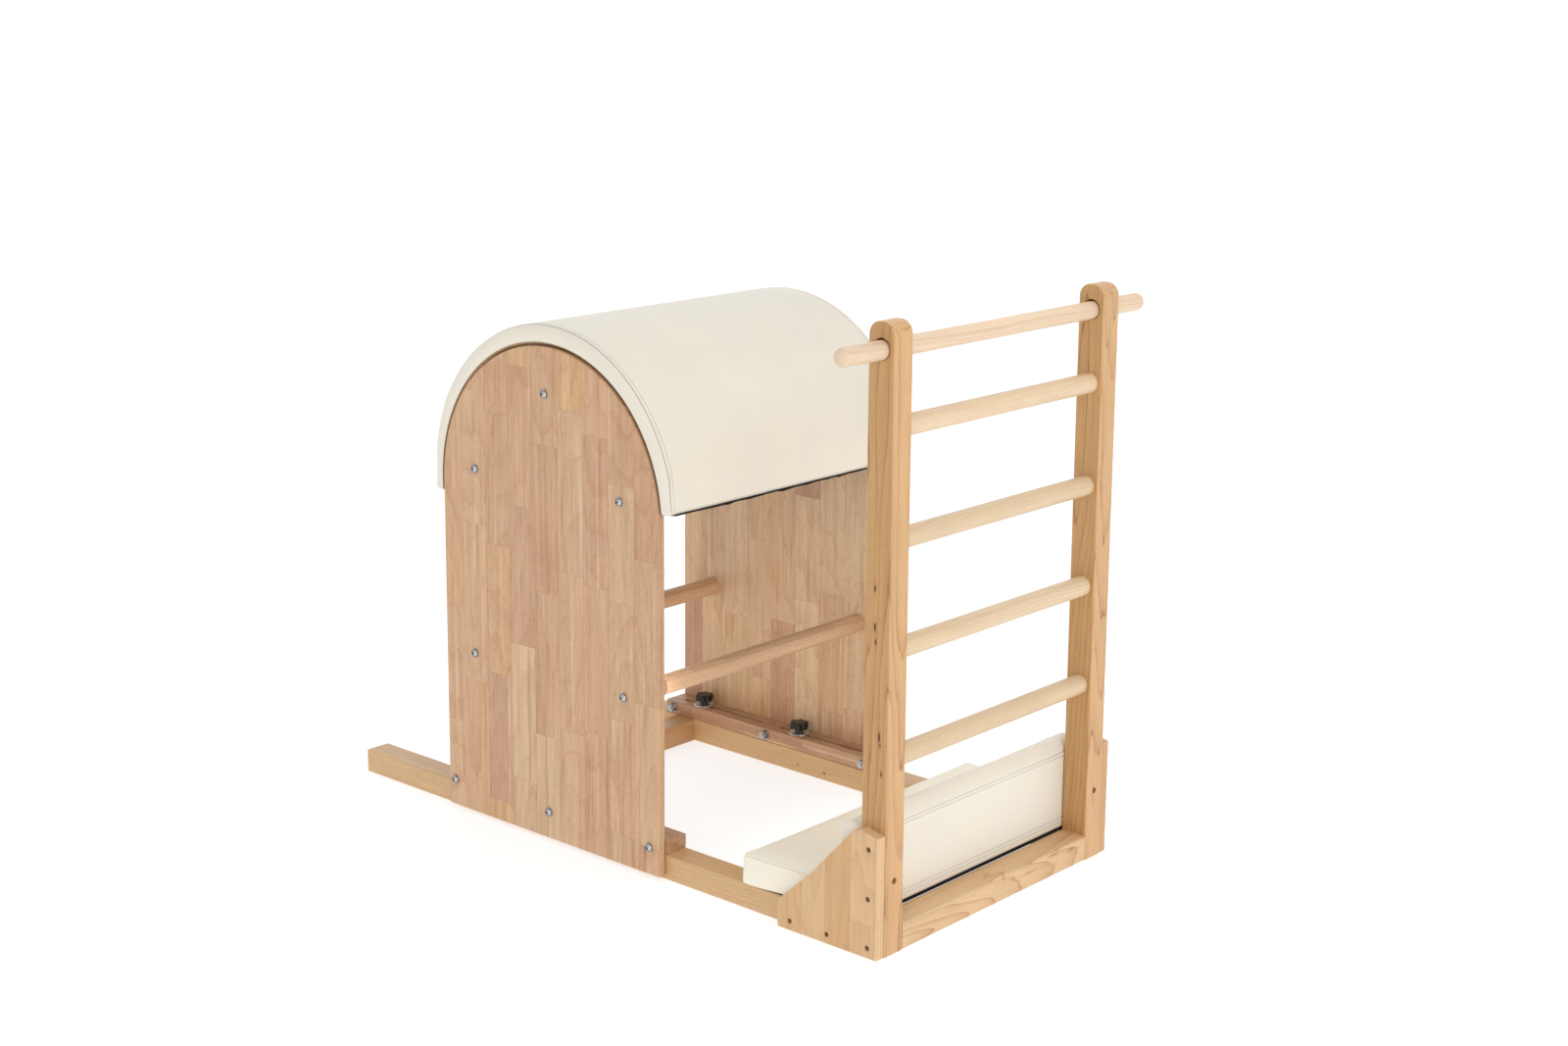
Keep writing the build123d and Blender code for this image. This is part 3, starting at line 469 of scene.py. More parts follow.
def nylon(name):
    """Glossy black plastic with a fine grain."""
    net = Net(name)
    place = net.coords()
    fine = net.noise(place, scale=2400.0, rough=0.6)
    cloud = net.noise(place, scale=60.0)
    colour = net.mix(net.span(cloud, ends=(0.3, 0.7)), rgb(7, 7, 8), rgb(15, 15, 16))
    return net.surface(Base_Color=colour,
                       Roughness=net.add(0.26, net.swing(fine, amount=0.15)),
                       Normal=net.bump(fine, strength=0.25, distance=0.0001),
                       Specular_IOR_Level=0.5)


def dust_fabric(name):
    """Matt black cloth."""
    net = Net(name)
    weave = net.noise(net.coords(), scale=1300.0, detail=3.0, rough=0.7)
    return net.surface(Base_Color=net.mix(weave, rgb(8, 8, 10), rgb(34, 33, 36)),
                       Roughness=0.92, Sheen_Weight=0.2,
                       Normal=net.bump(weave, strength=0.6, distance=0.0004))


def vinyl(name, colour, cloud_shift=0.0):
    """Smooth upholstery vinyl: very fine pebble, faint cloudiness, soft sheen."""
    net = Net(name)
    place = net.coords()
    pebbles = net.node("ShaderNodeTexVoronoi", feature="DISTANCE_TO_EDGE")
    net.put(pebbles.inputs["Vector"], place)
    pebbles.inputs["Scale"].default_value = 950.0
    pebble = net.span(pebbles.outputs["Distance"], ends=(0.0, 0.18), smooth=True)
    fine = net.noise(place, scale=2600.0, rough=0.6)
    cloud = net.noise(place, scale=7.0 + cloud_shift, detail=3.0, rough=0.55)
    streak = net.noise(place, scale=46.0)
    # slightly warmer where the clouds are bright, darker between pebbles, and painted shade in the
    # creases from ambient occlusion
    warm = (min(1, colour[0] * 1.02), min(1, colour[1] * 1.012), colour[2] * 0.985, 1)
    shade = net.mix(net.span(cloud, ends=(0.3, 0.7)), scaled(colour, 0.965), warm)
    shade = net.mix(net.mul(net.sub(1.0, pebble), 0.10), shade, scaled(colour, 0.75))
    # painted shade: the colour darkens where ambient occlusion finds a crease
    painted_crease_shade = net.node("ShaderNodeAmbientOcclusion", samples=4)
    painted_crease_shade.inputs["Distance"].default_value = 0.004
    painted_crease_shade = net.span(painted_crease_shade.outputs["AO"], ends=(0.45, 0.92), out=(0.52, 0.0))
    shade = net.mix(painted_crease_shade, shade, scaled(colour, 0.42))
    height = net.add(net.mul(pebble, 0.7), net.mul(fine, 0.3))
    rough = net.add(0.43, net.add(net.swing(cloud, amount=0.10), net.swing(streak, amount=0.05)))
    return net.surface(Base_Color=shade, Roughness=rough, Sheen_Weight=0.08,
                       Sheen_Roughness=0.5, Specular_IOR_Level=0.42,
                       Normal=net.bump(height, strength=0.16, distance=0.00022))


CHROME = metal("chrome_bolt", (0.60, 0.60, 0.62, 1), rough=0.20, rim=0.9)
ZINC = metal("zinc_plate", (0.56, 0.57, 0.59, 1), rough=0.30, scratch=0.2, rim=0.5)
BRIGHT = metal("bright_zinc_washer", (0.93, 0.94, 0.95, 1), rough=0.38, scratch=0.2)
SCREW = metal("wood_screw_steel", (0.22, 0.19, 0.17, 1), rough=0.42)
STEEL = metal("insert_steel", (0.62, 0.60, 0.55, 1), rough=0.35)
assign(CHROME, "drum_bolts", "stretcher_bolts", "slide_rail_bolts", "slide_rail_nuts",
       "drum_nuts", "bolt_washers")
assign(SCREW, "gusset_screws", "kick_pad_screws", "foot_pad_screws")
assign(STEEL, "knob_inserts", "stretcher_inserts")
BLACK = nylon("black_nylon")
for side in SIDES:
    for end in ("rear", "front"):
        assign(BRIGHT, "clamp_washer_%s_%s" % (side, end))
        assign(ZINC, "knob_stud_%s_%s" % (side, end))
        assign(BLACK, "clamp_knob_%s_%s" % (side, end))
DUST = dust_fabric("dust_fabric")
assign(DUST, "kick_pad_dust_cover", "foot_pad_dust_cover", "drum_dust_cover")
VINYL = vinyl("ivory_vinyl", rgb(241, 235, 221))
THREAD = vinyl("ivory_thread", rgb(224, 214, 194), cloud_shift=3.0)
# a brighter, warmer copy of the ivory vinyl for the foot pad: painted light, where the foot pad
# gets too little light
FOOT_VINYL_PAINTED_LIGHT = vinyl("ivory_vinyl_foot_painted_light", rgb(253, 247, 230), cloud_shift=1.5)
assign(VINYL, "kick_pad", "foot_pad", "drum_pad")


# ------------------------------------------------------------------ mesh helpers
def object_from(mesh, name, outward=True):
    """Turn a bmesh into a linked object."""
    if outward:
        bmesh.ops.recalc_face_normals(mesh, faces=mesh.faces[:])
    data = bpy.data.meshes.new(name)
    mesh.to_mesh(data)
    mesh.free()
    made = bpy.data.objects.new(name, data)
    scene.collection.objects.link(made)
    return made


def shade_smooth(made):
    for polygon in made.data.polygons:
        polygon.use_smooth = True


def quads(mesh, rows):
    """Faces between rows of vertices."""
    for row, following in zip(rows, rows[1:]):
        for j in range(len(row) - 1):
            mesh.faces.new((row[j], row[j + 1], following[j + 1], following[j]))


def weld(grid):
    """Vertices and faces of a lofted grid (stations x ring), coincident points joined."""
    stations, around, _ = grid.shape
    keys, verts = {}, []
    ids = np.zeros((stations, around), int)
    for s in range(stations):
        for r in range(around):
            key = tuple(np.round(grid[s, r] / 2e-6).astype(int))
            if key not in keys:
                keys[key] = len(verts)
                verts.append(grid[s, r])
            ids[s, r] = keys[key]
    faces = []
    for s in range(stations - 1):
        for r in range(around):
            q = (r + 1) % around
            face = [ids[s, r], ids[s, q], ids[s + 1, q], ids[s + 1, r]]
            face = [v for i, v in enumerate(face) if v != face[i - 1]]
            if len(set(face)) >= 3 and len(set(face)) == len(face):
                faces.append(face)
    return np.array(verts), faces, ids


def mesh_from(name, verts, faces, level=0):
    """An object from vertices and faces, with its subdivision applied."""
    mesh = bmesh.new()
    made_verts = [mesh.verts.new(v) for v in verts]
    for face in faces:
        try:
            mesh.faces.new([made_verts[i] for i in face])
        except ValueError:
            pass    # where an end cap closes on itself, a face may exist already
    made = object_from(mesh, name)
    if level:
        modifier = made.modifiers.new("smooth", "SUBSURF")
        modifier.levels = modifier.render_levels = level
        depsgraph = bpy.context.evaluated_depsgraph_get()
        coarse = made.data
        fine = bpy.data.meshes.new_from_object(made.evaluated_get(depsgraph))
        made.modifiers.clear()
        made.data = fine
        bpy.data.meshes.remove(coarse)
        fine.name = name
    shade_smooth(made)
    return made


def finish_piece(made, material, body, slot, *nodes):
    made.data.materials.clear()
    made.data.materials.append(material)
    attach(made, body)
    if nodes:
        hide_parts(*nodes)


# ------------------------------------------------------------------ cushion helpers
def inflate(grid, pinned, pressure, cap, frames=20):
    """Cloth simulation of the cover under the pressure of its filling.
    No point moves further than `cap` (metres)."""
    verts, faces, ids = weld(grid)
    cloth = mesh_from("cloth_tmp", verts, faces)
    cloth.data.validate()
    group = cloth.vertex_groups.new(name="pin")
    group.add(sorted({int(i) for i in ids[pinned]}), 1.0, "REPLACE")
    modifier = cloth.modifiers.new("cloth", "CLOTH")
    settings = modifier.settings
    settings.quality = 4
    settings.mass = 0.3
    settings.tension_stiffness = settings.compression_stiffness = 18.0
    settings.shear_stiffness = 9.0
    settings.bending_stiffness = 0.6
    settings.use_pressure = True
    settings.uniform_pressure_force = pressure
    settings.vertex_group_mass = "pin"
    settings.effector_weights.gravity = 0.0
    modifier.collision_settings.use_collision = False
    modifier.point_cache.frame_start = 1
    modifier.point_cache.frame_end = frames
    for number in range(1, frames + 1):
        scene.frame_set(number)
    evaluated = cloth.evaluated_get(bpy.context.evaluated_depsgraph_get())
    moved = np.empty(len(verts) * 3)
    evaluated.data.vertices.foreach_get("co", moved)
    moved = moved.reshape(-1, 3)
    scene.frame_set(1)
    bpy.data.objects.remove(cloth)
    lift = moved - verts
    size = np.linalg.norm(lift, axis=1)
    lift *= (cap * np.tanh(size / cap) / np.maximum(size, 1e-9))[:, None]
    return (verts + lift)[ids]


def resample(grid, wanted, axis, periodic):
    """Cubic interpolation of a grid at fractional indices along one axis."""
    grid = np.moveaxis(grid, axis, 0)
    n = len(grid)
    i = np.floor(wanted).astype(int)
    f = (wanted - i)[:, None, None]

    def at(k):
        return grid[k % n] if periodic else grid[np.clip(k, 0, n - 1)]

    a, b, c, d = at(i - 1), at(i), at(i + 1), at(i + 2)
    if not periodic:
        a = np.where((i < 1)[:, None, None], 2 * b - c, a)
        d = np.where((i + 2 > n - 1)[:, None, None], 2 * c - b, d)
    out = b + 0.5 * f * (c - a + f * (2 * a - 5 * b + 4 * c - d + f * (3 * (b - c) + d - a)))
    return np.moveaxis(out, 0, axis)


def outward_normals(grid, row, column, axis):
    """Grid normals, signed so that the one at (row, column) points along +axis."""
    along = np.gradient(grid, axis=0)
    around = (np.roll(grid, -1, 1) - np.roll(grid, 1, 1))
    normal = np.cross(around, along)
    normal = normal / np.maximum(np.linalg.norm(normal, axis=2, keepdims=True), 1e-12)
    return -normal if normal[row, column, axis] < 0 else normal


def ring_lengths(grid, row):
    """Running length (mm) around one ring; the last of its R + 1 values closes it."""
    steps = np.linalg.norm(np.roll(grid[row], -1, 0) - grid[row], axis=1) * 1000
    return np.concatenate([[0.0], np.cumsum(steps)])


def refine_ring(grid, lengths, grooves, step):
    """Resample the rings evenly, with extra points across each groove."""
    even = list(np.arange(0, lengths[-1] - step * 0.5, step))
    near = [(g + k) % lengths[-1] for g in grooves
            for k in (-3.2, -2.0, -1.2, -0.6, 0.0, 0.6, 1.2, 2.0, 3.2)]
    kept = [a for a in even if all(abs(a - b) > 1.4 for b in near)]
    ring = np.array(sorted(kept + near))
    wanted = np.interp(ring, lengths, np.arange(len(lengths)))
    wanted = np.minimum(wanted, len(lengths) - 1 - 1e-6)
    return resample(grid, wanted, 1, True), ring


def hash_noise(x, y, seed=0):
    """Smooth value noise from -0.5 to 0.5."""
    xi, yi = np.floor(x).astype(int), np.floor(y).astype(int)
    xf, yf = x - xi, y - yi
    u, v = xf * xf * (3 - 2 * xf), yf * yf * (3 - 2 * yf)

    def corner(a, b):
        n = (a * 374761393 + b * 668265263 + seed * 974711) & 0x7fffffff
        n = ((n ^ (n >> 13)) * 1274126177) & 0x7fffffff
        return ((n ^ (n >> 16)) & 0xffff) / 65535.0

    low = corner(xi, yi) * (1 - u) + corner(xi + 1, yi) * u
    high = corner(xi, yi + 1) * (1 - u) + corner(xi + 1, yi + 1) * u
    return low * (1 - v) + high * v - 0.5


def groove(position, centre, depth, width):
    return depth * np.exp(-((position - centre) / width) ** 2)


def end_insets(stations, radius, cap_steps):
    """Stations with the rounding and the flat end rings added at both ends.
    Each entry is (position, inset mm, fraction to the medial line)."""
    first, last = stations[0], stations[-1]
    out = [(first, radius, f) for f in cap_steps]
    for a in np.linspace(0, math.pi / 2, 7)[:-1]:
        out.append((first + radius * (1 - math.cos(a)), radius * (1 - math.sin(a)), 0.0))
    for s in stations:
        if first + radius * 1.02 <= s <= last - radius * 1.02:
            out.append((s, 0.0, 0.0))
    for a in np.linspace(math.pi / 2, 0, 7)[1:]:
        out.append((last - radius * (1 - math.cos(a)), radius * (1 - math.sin(a)), 0.0))
    return out + [(last, radius, f) for f in cap_steps[::-1]]


def inset(ring, medial, distance, fraction):
    """Move ring points some mm towards the medial line, then a fraction of the rest."""
    gap = medial - ring
    size = np.linalg.norm(gap, axis=1, keepdims=True)
    moved = ring + gap / np.maximum(size, 1e-9) * np.minimum(distance, size * 0.98)
    return moved + (medial - moved) * fraction


def spaced(points, gap):
    """Indices of the points that lie more than a gap from the last one kept."""
    kept = [0]
    for i in range(1, len(points)):
        if np.linalg.norm(points[i] - points[kept[-1]]) > gap:
            kept.append(i)
    return kept


def sunk(grid, normal, depth):
    """The grid pushed inwards by a depth in mm."""
    return grid - normal * (depth * MM)[:, :, None]


def cover(name, grid, material, body, node):
    verts, faces, _ = weld(grid)
    finish_piece(mesh_from(name, verts, faces, level=1), material, body, "vinyl", node)


# ------------------------------------------------------------------ drum pad
# An arch over Y, its lower edge sloping up towards +X: outer cover, rolled rims, rounded ends.
DRUM_X = -113.3
BASE_HALF, BASE_LOW, BASE_RISE = 302, 600.0, 50.0   # lower edge: half span, z at -X, rise to +X
DRUM_HALF = 318.3                                  # half width along Y
DRUM_THICK, RIM_RADIUS, LIP_DEPTH = 19.0, 9.0, 5.4
FLAT_POINTS = 37                                   # across the outer face of the profile
TOP_STITCH_Y = 302.8
LIP_INSET = 6.1
# rolled rim: distance in from the side face, height above the inner face
RIM = [(0.0, 7.0), (0.0, 3.5), (0.0, 0.0), (0.0, -2.4),
       (1.0, -4.3), (3.0, -5.4), (5.8, -5.4), (LIP_INSET, -3.0)]
# thread dash: fraction of its length, radius factor, rise in radii
DASH = ((0.0, 0.35, -0.8), (0.16, 0.9, 0.0), (0.5, 1.0, 0.35), (0.84, 0.9, 0.0), (1.0, 0.35, -0.8))


def drum_base(x):
    return BASE_LOW + (x - (DRUM_X - BASE_HALF)) * BASE_RISE / (2 * BASE_HALF)


def drum_curve(centre_z, radius, clearance):
    """Dense polyline (x, z) from +X over the arch, cut by the sloping lower edge, and its
    running length."""
    points = [(DRUM_X + radius, centre_z - d) for d in np.linspace(80, 0, 41)[:-1]]
    points += [(DRUM_X + radius * math.cos(a), centre_z + radius * math.sin(a))
               for a in np.linspace(0, math.pi, 361)]
    points += [(DRUM_X - radius, centre_z - d) for d in np.linspace(0, 80, 41)[1:]]
    points = np.array(points)
    points = points[points[:, 1] >= drum_base(points[:, 0]) + clearance]
    steps = np.linalg.norm(np.diff(points, axis=0), axis=1)
    return points, np.concatenate([[0], np.cumsum(steps)])


def curve_point(curve, fraction):
    points, run = curve
    return np.array([np.interp(fraction * run[-1], run, points[:, i]) for i in (0, 1)])


def drum_profile():
    """Closed ring of (y, height above the inner face)."""
    flat = DRUM_HALF - RIM_RADIUS
    low = DRUM_THICK - RIM_RADIUS
    points = [(y, DRUM_THICK) for y in np.linspace(-flat, flat, FLAT_POINTS)]
    for a in np.linspace(0, math.pi / 2, 6)[1:]:
        points.append((flat + RIM_RADIUS * math.sin(a), low + RIM_RADIUS * math.cos(a)))
    points += [(DRUM_HALF - d, t) for d, t in RIM]
    inner = DRUM_HALF - LIP_INSET
    points += [(y, 0.0) for y in np.linspace(inner, -inner, 20)]
    points += [(-(DRUM_HALF - d), t) for d, t in reversed(RIM)]
    for a in np.linspace(math.pi / 2, 0, 6)[:-1]:
        points.append((-(flat + RIM_RADIUS * math.sin(a)), low + RIM_RADIUS * math.cos(a)))
    return np.array(points)


def drum_grid(profile, stations, length):
    """The profile swept along the arch, between its outer, inner and lip curves."""
    outer_curve = drum_curve(638.0, 301.0, 0.2)
    inner_curve = drum_curve(629.5, 282.2, 0.8)
    lip_curve = drum_curve(629.5, 276.7, 0.8)
    medial = np.stack([np.clip(profile[:, 0], -306, 306),
                       np.full(len(profile), DRUM_THICK / 2)], axis=1)
    rows = []
    for s, distance, fraction in stations:
        along = s / length
        outer = curve_point(outer_curve, along)
        inner = curve_point(inner_curve, along)
        lip = curve_point(lip_curve, along)
        row = []
        for y, t in inset(profile, medial, distance, fraction):
            if t >= 0:
                q = inner + (outer - inner) * (t / DRUM_THICK)
            else:
                q = inner + (lip - inner) * (-t / LIP_DEPTH)
            row.append((q[0] * MM, y * MM, q[1] * MM))
        rows.append(row)
    return np.array(rows)


def drum_relief(ring, run, lengths, seams, stitch_lines, length):
    """Depth (mm) of seams, stitching, wrinkles and puckers over the cover."""
    lines = np.zeros(len(ring))
    for seam, inward in zip(seams, (1, -1)):
        lines += groove(ring, seam, depth=1.9, width=1.1)
        lines -= groove(ring, seam + inward * 2.3, depth=0.45, width=1.4)
    for stitch in stitch_lines:
        lines += groove(ring, stitch, depth=1.5, width=1.1)
    along, around = np.meshgrid(run, ring, indexing="ij")
    depth = np.tile(lines, (len(run), 1))
    # broad and small wrinkles on the outer face
    outer = (around < lengths[42]) | (around > lengths[-1] - 14)
    wrinkles = (hash_noise(along / 34.0, around / 55.0, 3) * 0.7
                + hash_noise(along / 13.0, around / 20.0, 5) * 0.22)
    depth += wrinkles * outer * 0.6
    # short puckers along the top stitching
    from_stitch = np.minimum(abs(around - stitch_lines[0]), abs(around - stitch_lines[1]))
    near_rim = np.exp(-(from_stitch / 9.0) ** 2)
    sway = 4 * hash_noise(along / 40.0, around / 90.0, 7)
    depth += near_rim * 0.16 * np.sin(along / 3.1 + sway)
    # fine unevenness from the corner seams down to the lips
    rim = (((around > seams[0]) & (around < lengths[46]))
           | ((around < seams[1]) & (around > lengths[-12])))
    depth += rim * 0.30 * hash_noise(along / 6.0, around / 60.0, 9)
    # gathers at the lower end on the -X side
    gathers = np.exp(-((along - length) / 17.0) ** 2) * (rim | (near_rim > 0.05))
    fade = np.clip(1 - (length - along) / 40.0, 0, 1)
    depth += gathers * 1.2 * np.sin(around / 1.9) * fade
    return depth


def stitches(lines, pitch, length, radius, lift):
    """Thread dashes along polylines of points and normals, in metres."""
    mesh = bmesh.new()
    for points, normals in lines:
        steps = np.linalg.norm(np.diff(points, axis=0), axis=1)
        run = np.concatenate([[0], np.cumsum(steps)])

        def sample(values, s):
            return np.array([np.interp(s, run, values[:, i]) for i in range(3)])

        for k in range(int(run[-1] / pitch)):
            start = k * pitch + pitch * 0.2
            rings = []
            for offset, width, rise in DASH:
                s = start + offset * length
                point = sample(points, s)
                normal = sample(normals, s)
                normal /= max(np.linalg.norm(normal), 1e-9)
                tangent = sample(points, s + 1e-4) - point
                if np.linalg.norm(tangent) < 1e-9:      # past the end: look back instead
                    tangent = point - sample(points, s - 1e-4)
                tangent /= max(np.linalg.norm(tangent), 1e-9)
                across = np.cross(tangent, normal)
                centre = point + normal * (lift + rise * radius)
                rings.append([mesh.verts.new(centre + radius * width * (
                    math.cos(a) * normal * 0.8 + math.sin(a) * across))
                    for a in np.linspace(0, 2 * math.pi, 7)[:-1]])
            for ring, following in zip(rings, rings[1:]):
                for i in range(6):
                    j = (i + 1) % 6
                    mesh.faces.new((ring[i], ring[j], following[j], following[i]))
            mesh.faces.new(rings[0][::-1])
            mesh.faces.new(rings[-1])
    for face in mesh.faces:
        face.smooth = True
    made = object_from(mesh, "drum_stitching")
    finish_piece(made, THREAD, "carriage", "vinyl")


def drum_pad():
    length = drum_curve(638.0, 301.0, 0.2)[1][-1]
    profile = drum_profile()
    stations = end_insets(list(np.linspace(0, length, 72)), radius=7.0, cap_steps=(1.0, 0.5))
    grid = drum_grid(profile, stations, length)
    pinned = np.zeros(grid.shape[:2], bool)
    pinned[:, profile[:, 1] <= 0.01] = True
    pinned[:2, :] = pinned[-2:, :] = True
    grid = inflate(grid, pinned, pressure=3.0, cap=3.2 * MM)

    lengths = ring_lengths(grid, grid.shape[0] // 2)

    def ring_at(y):
        """Running length where the outer face crosses y."""
        return float(np.interp(y, profile[:FLAT_POINTS, 0], lengths[:FLAT_POINTS]))

    corner = 2.6        # corner seams lie this far round the rounded edges
    seams = [lengths[FLAT_POINTS - 1] + corner, lengths[-1] - corner]
    stitch_lines = [ring_at(TOP_STITCH_Y), ring_at(-TOP_STITCH_Y)]
    grid, ring = refine_ring(grid, lengths, seams + stitch_lines, step=7.5)
    normal = outward_normals(grid, grid.shape[0] // 2, np.argmin(abs(ring - ring_at(0))), axis=2)
    run = np.array([s for s, _, _ in stations])
    grid = sunk(grid, normal, drum_relief(ring, run, lengths, seams, stitch_lines, length))
    cover("drum_cover", grid, VINYL, "carriage", "drum_pad")
    columns = [int(np.argmin(abs(ring - stitch))) for stitch in stitch_lines]
    stitches([(grid[10:-10, k], normal[10:-10, k]) for k in columns],
             pitch=4.2 * MM, length=3.1 * MM, radius=0.42 * MM, lift=0.12 * MM)


# ------------------------------------------------------------------ kick pad
# An upright pad along Y: top roll, two welts, flat +X face, rounded ends.
KICK_FRONT, KICK_REAR = 597.6, 552.0
KICK_LOW, KICK_TOP = 47.8, 212.0
KICK_HALF = 300.4
KICK_EDGE = 5                                       # radius of the lower edges
ROLL = (KICK_FRONT - KICK_REAR) / 2
FACE_TOP, FACE_POINTS = 184.0, 24
UPPER_WELT_Z, LOWER_WELT_Z, WELT_HALF = 188.4, 63.5, 2.8


def kick_profile():
    """Closed ring of (x, z), starting up the +X face."""
    rear, front, low, edge = KICK_REAR, KICK_FRONT, KICK_LOW, KICK_EDGE
    heights = np.linspace(low + edge, FACE_TOP, FACE_POINTS)
    arc = np.linspace(0, math.pi / 2, 4)
    points = [(front, z) for z in heights]
    points += [(rear + ROLL + ROLL * math.cos(a), KICK_TOP - ROLL + ROLL * math.sin(a))
               for a in np.linspace(0, math.pi, 21)]
    points += [(rear, z) for z in heights[::-1]]
    points += [(rear + edge - edge * math.cos(a), low + edge - edge * math.sin(a))
               for a in arc[1:]]
    points += [(x, low) for x in np.linspace(rear + edge, front - edge, 6)[1:-1]]
    points += [(front - edge + edge * math.sin(a), low + edge - edge * math.cos(a))
               for a in arc[:-1]]
    return np.array(points)


def kick_grid(profile, stations):
    """The profile swept along Y, its top falling away at the ends."""
    medial = np.stack([np.full(len(profile), (KICK_REAR + KICK_FRONT) / 2),
                       np.clip(profile[:, 1], KICK_LOW + 23, FACE_TOP)], axis=1)
    fall, fall_from = 9.0, 110.0       # radius of the fall, height where it starts
    rows = []
    for s, distance, fraction in stations:
        ring = inset(profile, medial, distance, fraction)
        over = max(0.0, abs(s) - (KICK_HALF - fall))
        drop = fall - math.sqrt(max(0.0, fall ** 2 - over ** 2))
        share = np.clip((ring[:, 1] - fall_from) / (KICK_TOP - fall_from), 0, 1) ** 1.5
        rows.append([(x * MM, s * MM, (z - drop * 0.75 * k) * MM)
                     for (x, z), k in zip(ring, share)])
    return np.array(rows)


def kick_relief(ring, run, lengths, upper, lower, end_seams):
    """Depth (mm) of welts, end seams and unevenness; the end caps stay flat."""
    along, around = np.meshgrid(run, ring, indexing="ij")
    depth = np.zeros(around.shape)
    for welt in (upper, lower):
        for k in (-WELT_HALF, WELT_HALF):
            depth += groove(around, welt + k, depth=1.5, width=0.8)
        depth -= 1.3 * np.exp(-((around - welt) / 2.1) ** 4)
    # the top roll stands a little proud of the flat face
    depth += 0.8 * ((around > lower + 3) & (around < upper - 3))
    for seam in end_seams:
        over_roll = (around > upper + 3) * (around < lengths[50])
        depth += groove(along, seam, depth=1.6, width=1.1) * over_roll
    depth += (0.30 * hash_noise(along / 40.0, around / 30.0, 13)
              + 0.12 * hash_noise(along / 13.0, around / 9.0, 15))
    depth[:3] = 0
    depth[-3:] = 0
    return depth


def kick_pad():
    profile = kick_profile()
    stations = end_insets(list(np.linspace(-KICK_HALF, KICK_HALF, 58)), radius=7.0,
                          cap_steps=(1.0, 0.66, 0.33))
    grid = kick_grid(profile, stations)
    # held by the rear face, the underside and the lower welt
    x, z = profile.T
    pinned = np.zeros(grid.shape[:2], bool)
    pinned[:, (abs(x - KICK_REAR) < 0.1) & (z < 190)] = True
    pinned[:, z < KICK_LOW + 0.1] = True
    pinned[:, (abs(x - KICK_FRONT) < 0.1) & (abs(z - LOWER_WELT_Z) < 4)] = True
    grid = inflate(grid, pinned, pressure=2.2, cap=2.2 * MM)
    grid[:, :, 0] = np.minimum(grid[:, :, 0], 598.2 * MM)

    lengths = ring_lengths(grid, grid.shape[0] // 2)
    upper = float(np.interp(UPPER_WELT_Z, [FACE_TOP, KICK_TOP - ROLL],
                            lengths[FACE_POINTS - 1:FACE_POINTS + 1]))
    lower = float(np.interp(LOWER_WELT_Z, profile[:FACE_POINTS, 1], lengths[:FACE_POINTS]))
    grooves = [welt + k for welt in (upper, lower) for k in (-WELT_HALF, WELT_HALF)]
    grid, ring = refine_ring(grid, lengths, grooves + [upper, lower], step=6.0)

    # stations are added at the end seams by index, so that the cap rings, which
    # share one position, survive
    run = np.array([s for s, _, _ in stations])
    end_seams = [-(KICK_HALF - 11.0), KICK_HALF - 11.0]
    count = len(run)
    wanted = [float(i) for i in range(count)]
    for seam in end_seams:
        for k in (-2.0, -1.0, 0, 1.0, 2.0):
            wanted.append(float(np.interp(seam + k, run[5:count - 5], np.arange(5, count - 5))))
    wanted = np.array(sorted(set(np.round(wanted, 4))))
    grid = resample(grid, np.minimum(wanted, count - 1 - 1e-6), 0, False)
    run = np.interp(wanted, np.arange(count), run)

    normal = outward_normals(grid, grid.shape[0] // 2, 5, axis=0)
    grid = sunk(grid, normal, kick_relief(ring, run, lengths, upper, lower, end_seams))
    grid[:, :, 0] = np.minimum(grid[:, :, 0], 598.25 * MM)
    cover("kick_cover", grid, VINYL, "base", "kick_pad")


# ------------------------------------------------------------------ foot pad
# A flat pad: crowned top, seam along its edge, boxing below; wider at its -X end.
FOOT_REAR, FOOT_FRONT = 341.6, 549.4
FOOT_LOW, FOOT_TOP = 46.0, 98.6
FOOT_HALF, FOOT_REAR_HALF = 300.0, 307.5           # half widths at the +X and -X ends
FOOT_CORNER = 7.0
FLARE_INSET, FLARE_X = 14, 442.0                    # full width ends, narrow width starts
FOOT_LOW_ROUND, FOOT_TOP_ROUND, CROWN = 3.0, 6.0, 2.6
TOP_SEAM_ROW, SECOND_SEAM = 14.6, 7.5               # fractional row; distance up from it (mm)


def foot_outline():
    """Closed outline (x, y), starting along the +X end towards +Y."""
    r, rear, front = FOOT_CORNER, FOOT_REAR, FOOT_FRONT
    side = np.array([-293, -286, -276, -262, -246, -230, -214.0])
    ys = np.concatenate([side, np.linspace(-200, 200, 41), -side[::-1]])
    arc = np.linspace(0, math.pi / 2, 6)
    flare = []
    for x in np.linspace(front - r, rear + r, 26):
        t = min(1.0, max(0.0, (x - rear - FLARE_INSET) / (FLARE_X - rear - FLARE_INSET)))
        widening = (FOOT_REAR_HALF - FOOT_HALF) * 0.5 * (1 + math.cos(math.pi * t))
        flare.append((x, FOOT_HALF + widening))
    narrow, wide = FOOT_HALF - r, FOOT_REAR_HALF - r
    points = [(front, y) for y in ys]
    points += [(front - r + r * math.cos(a), narrow + r * math.sin(a)) for a in arc[1:]]
    points += flare[1:]
    points += [(rear + r - r * math.sin(a), wide + r * math.cos(a)) for a in arc[1:]]
    points += [(rear, y) for y in ys[::-1]]
    points += [(rear + r - r * math.cos(a), -wide - r * math.sin(a)) for a in arc]
    points += [(x, -y) for x, y in flare[::-1][1:]]
    points += [(front - r + r * math.sin(a), -narrow - r * math.cos(a)) for a in arc[1:-1]]
    points = np.array(points)
    return points[spaced(points, 0.4)]


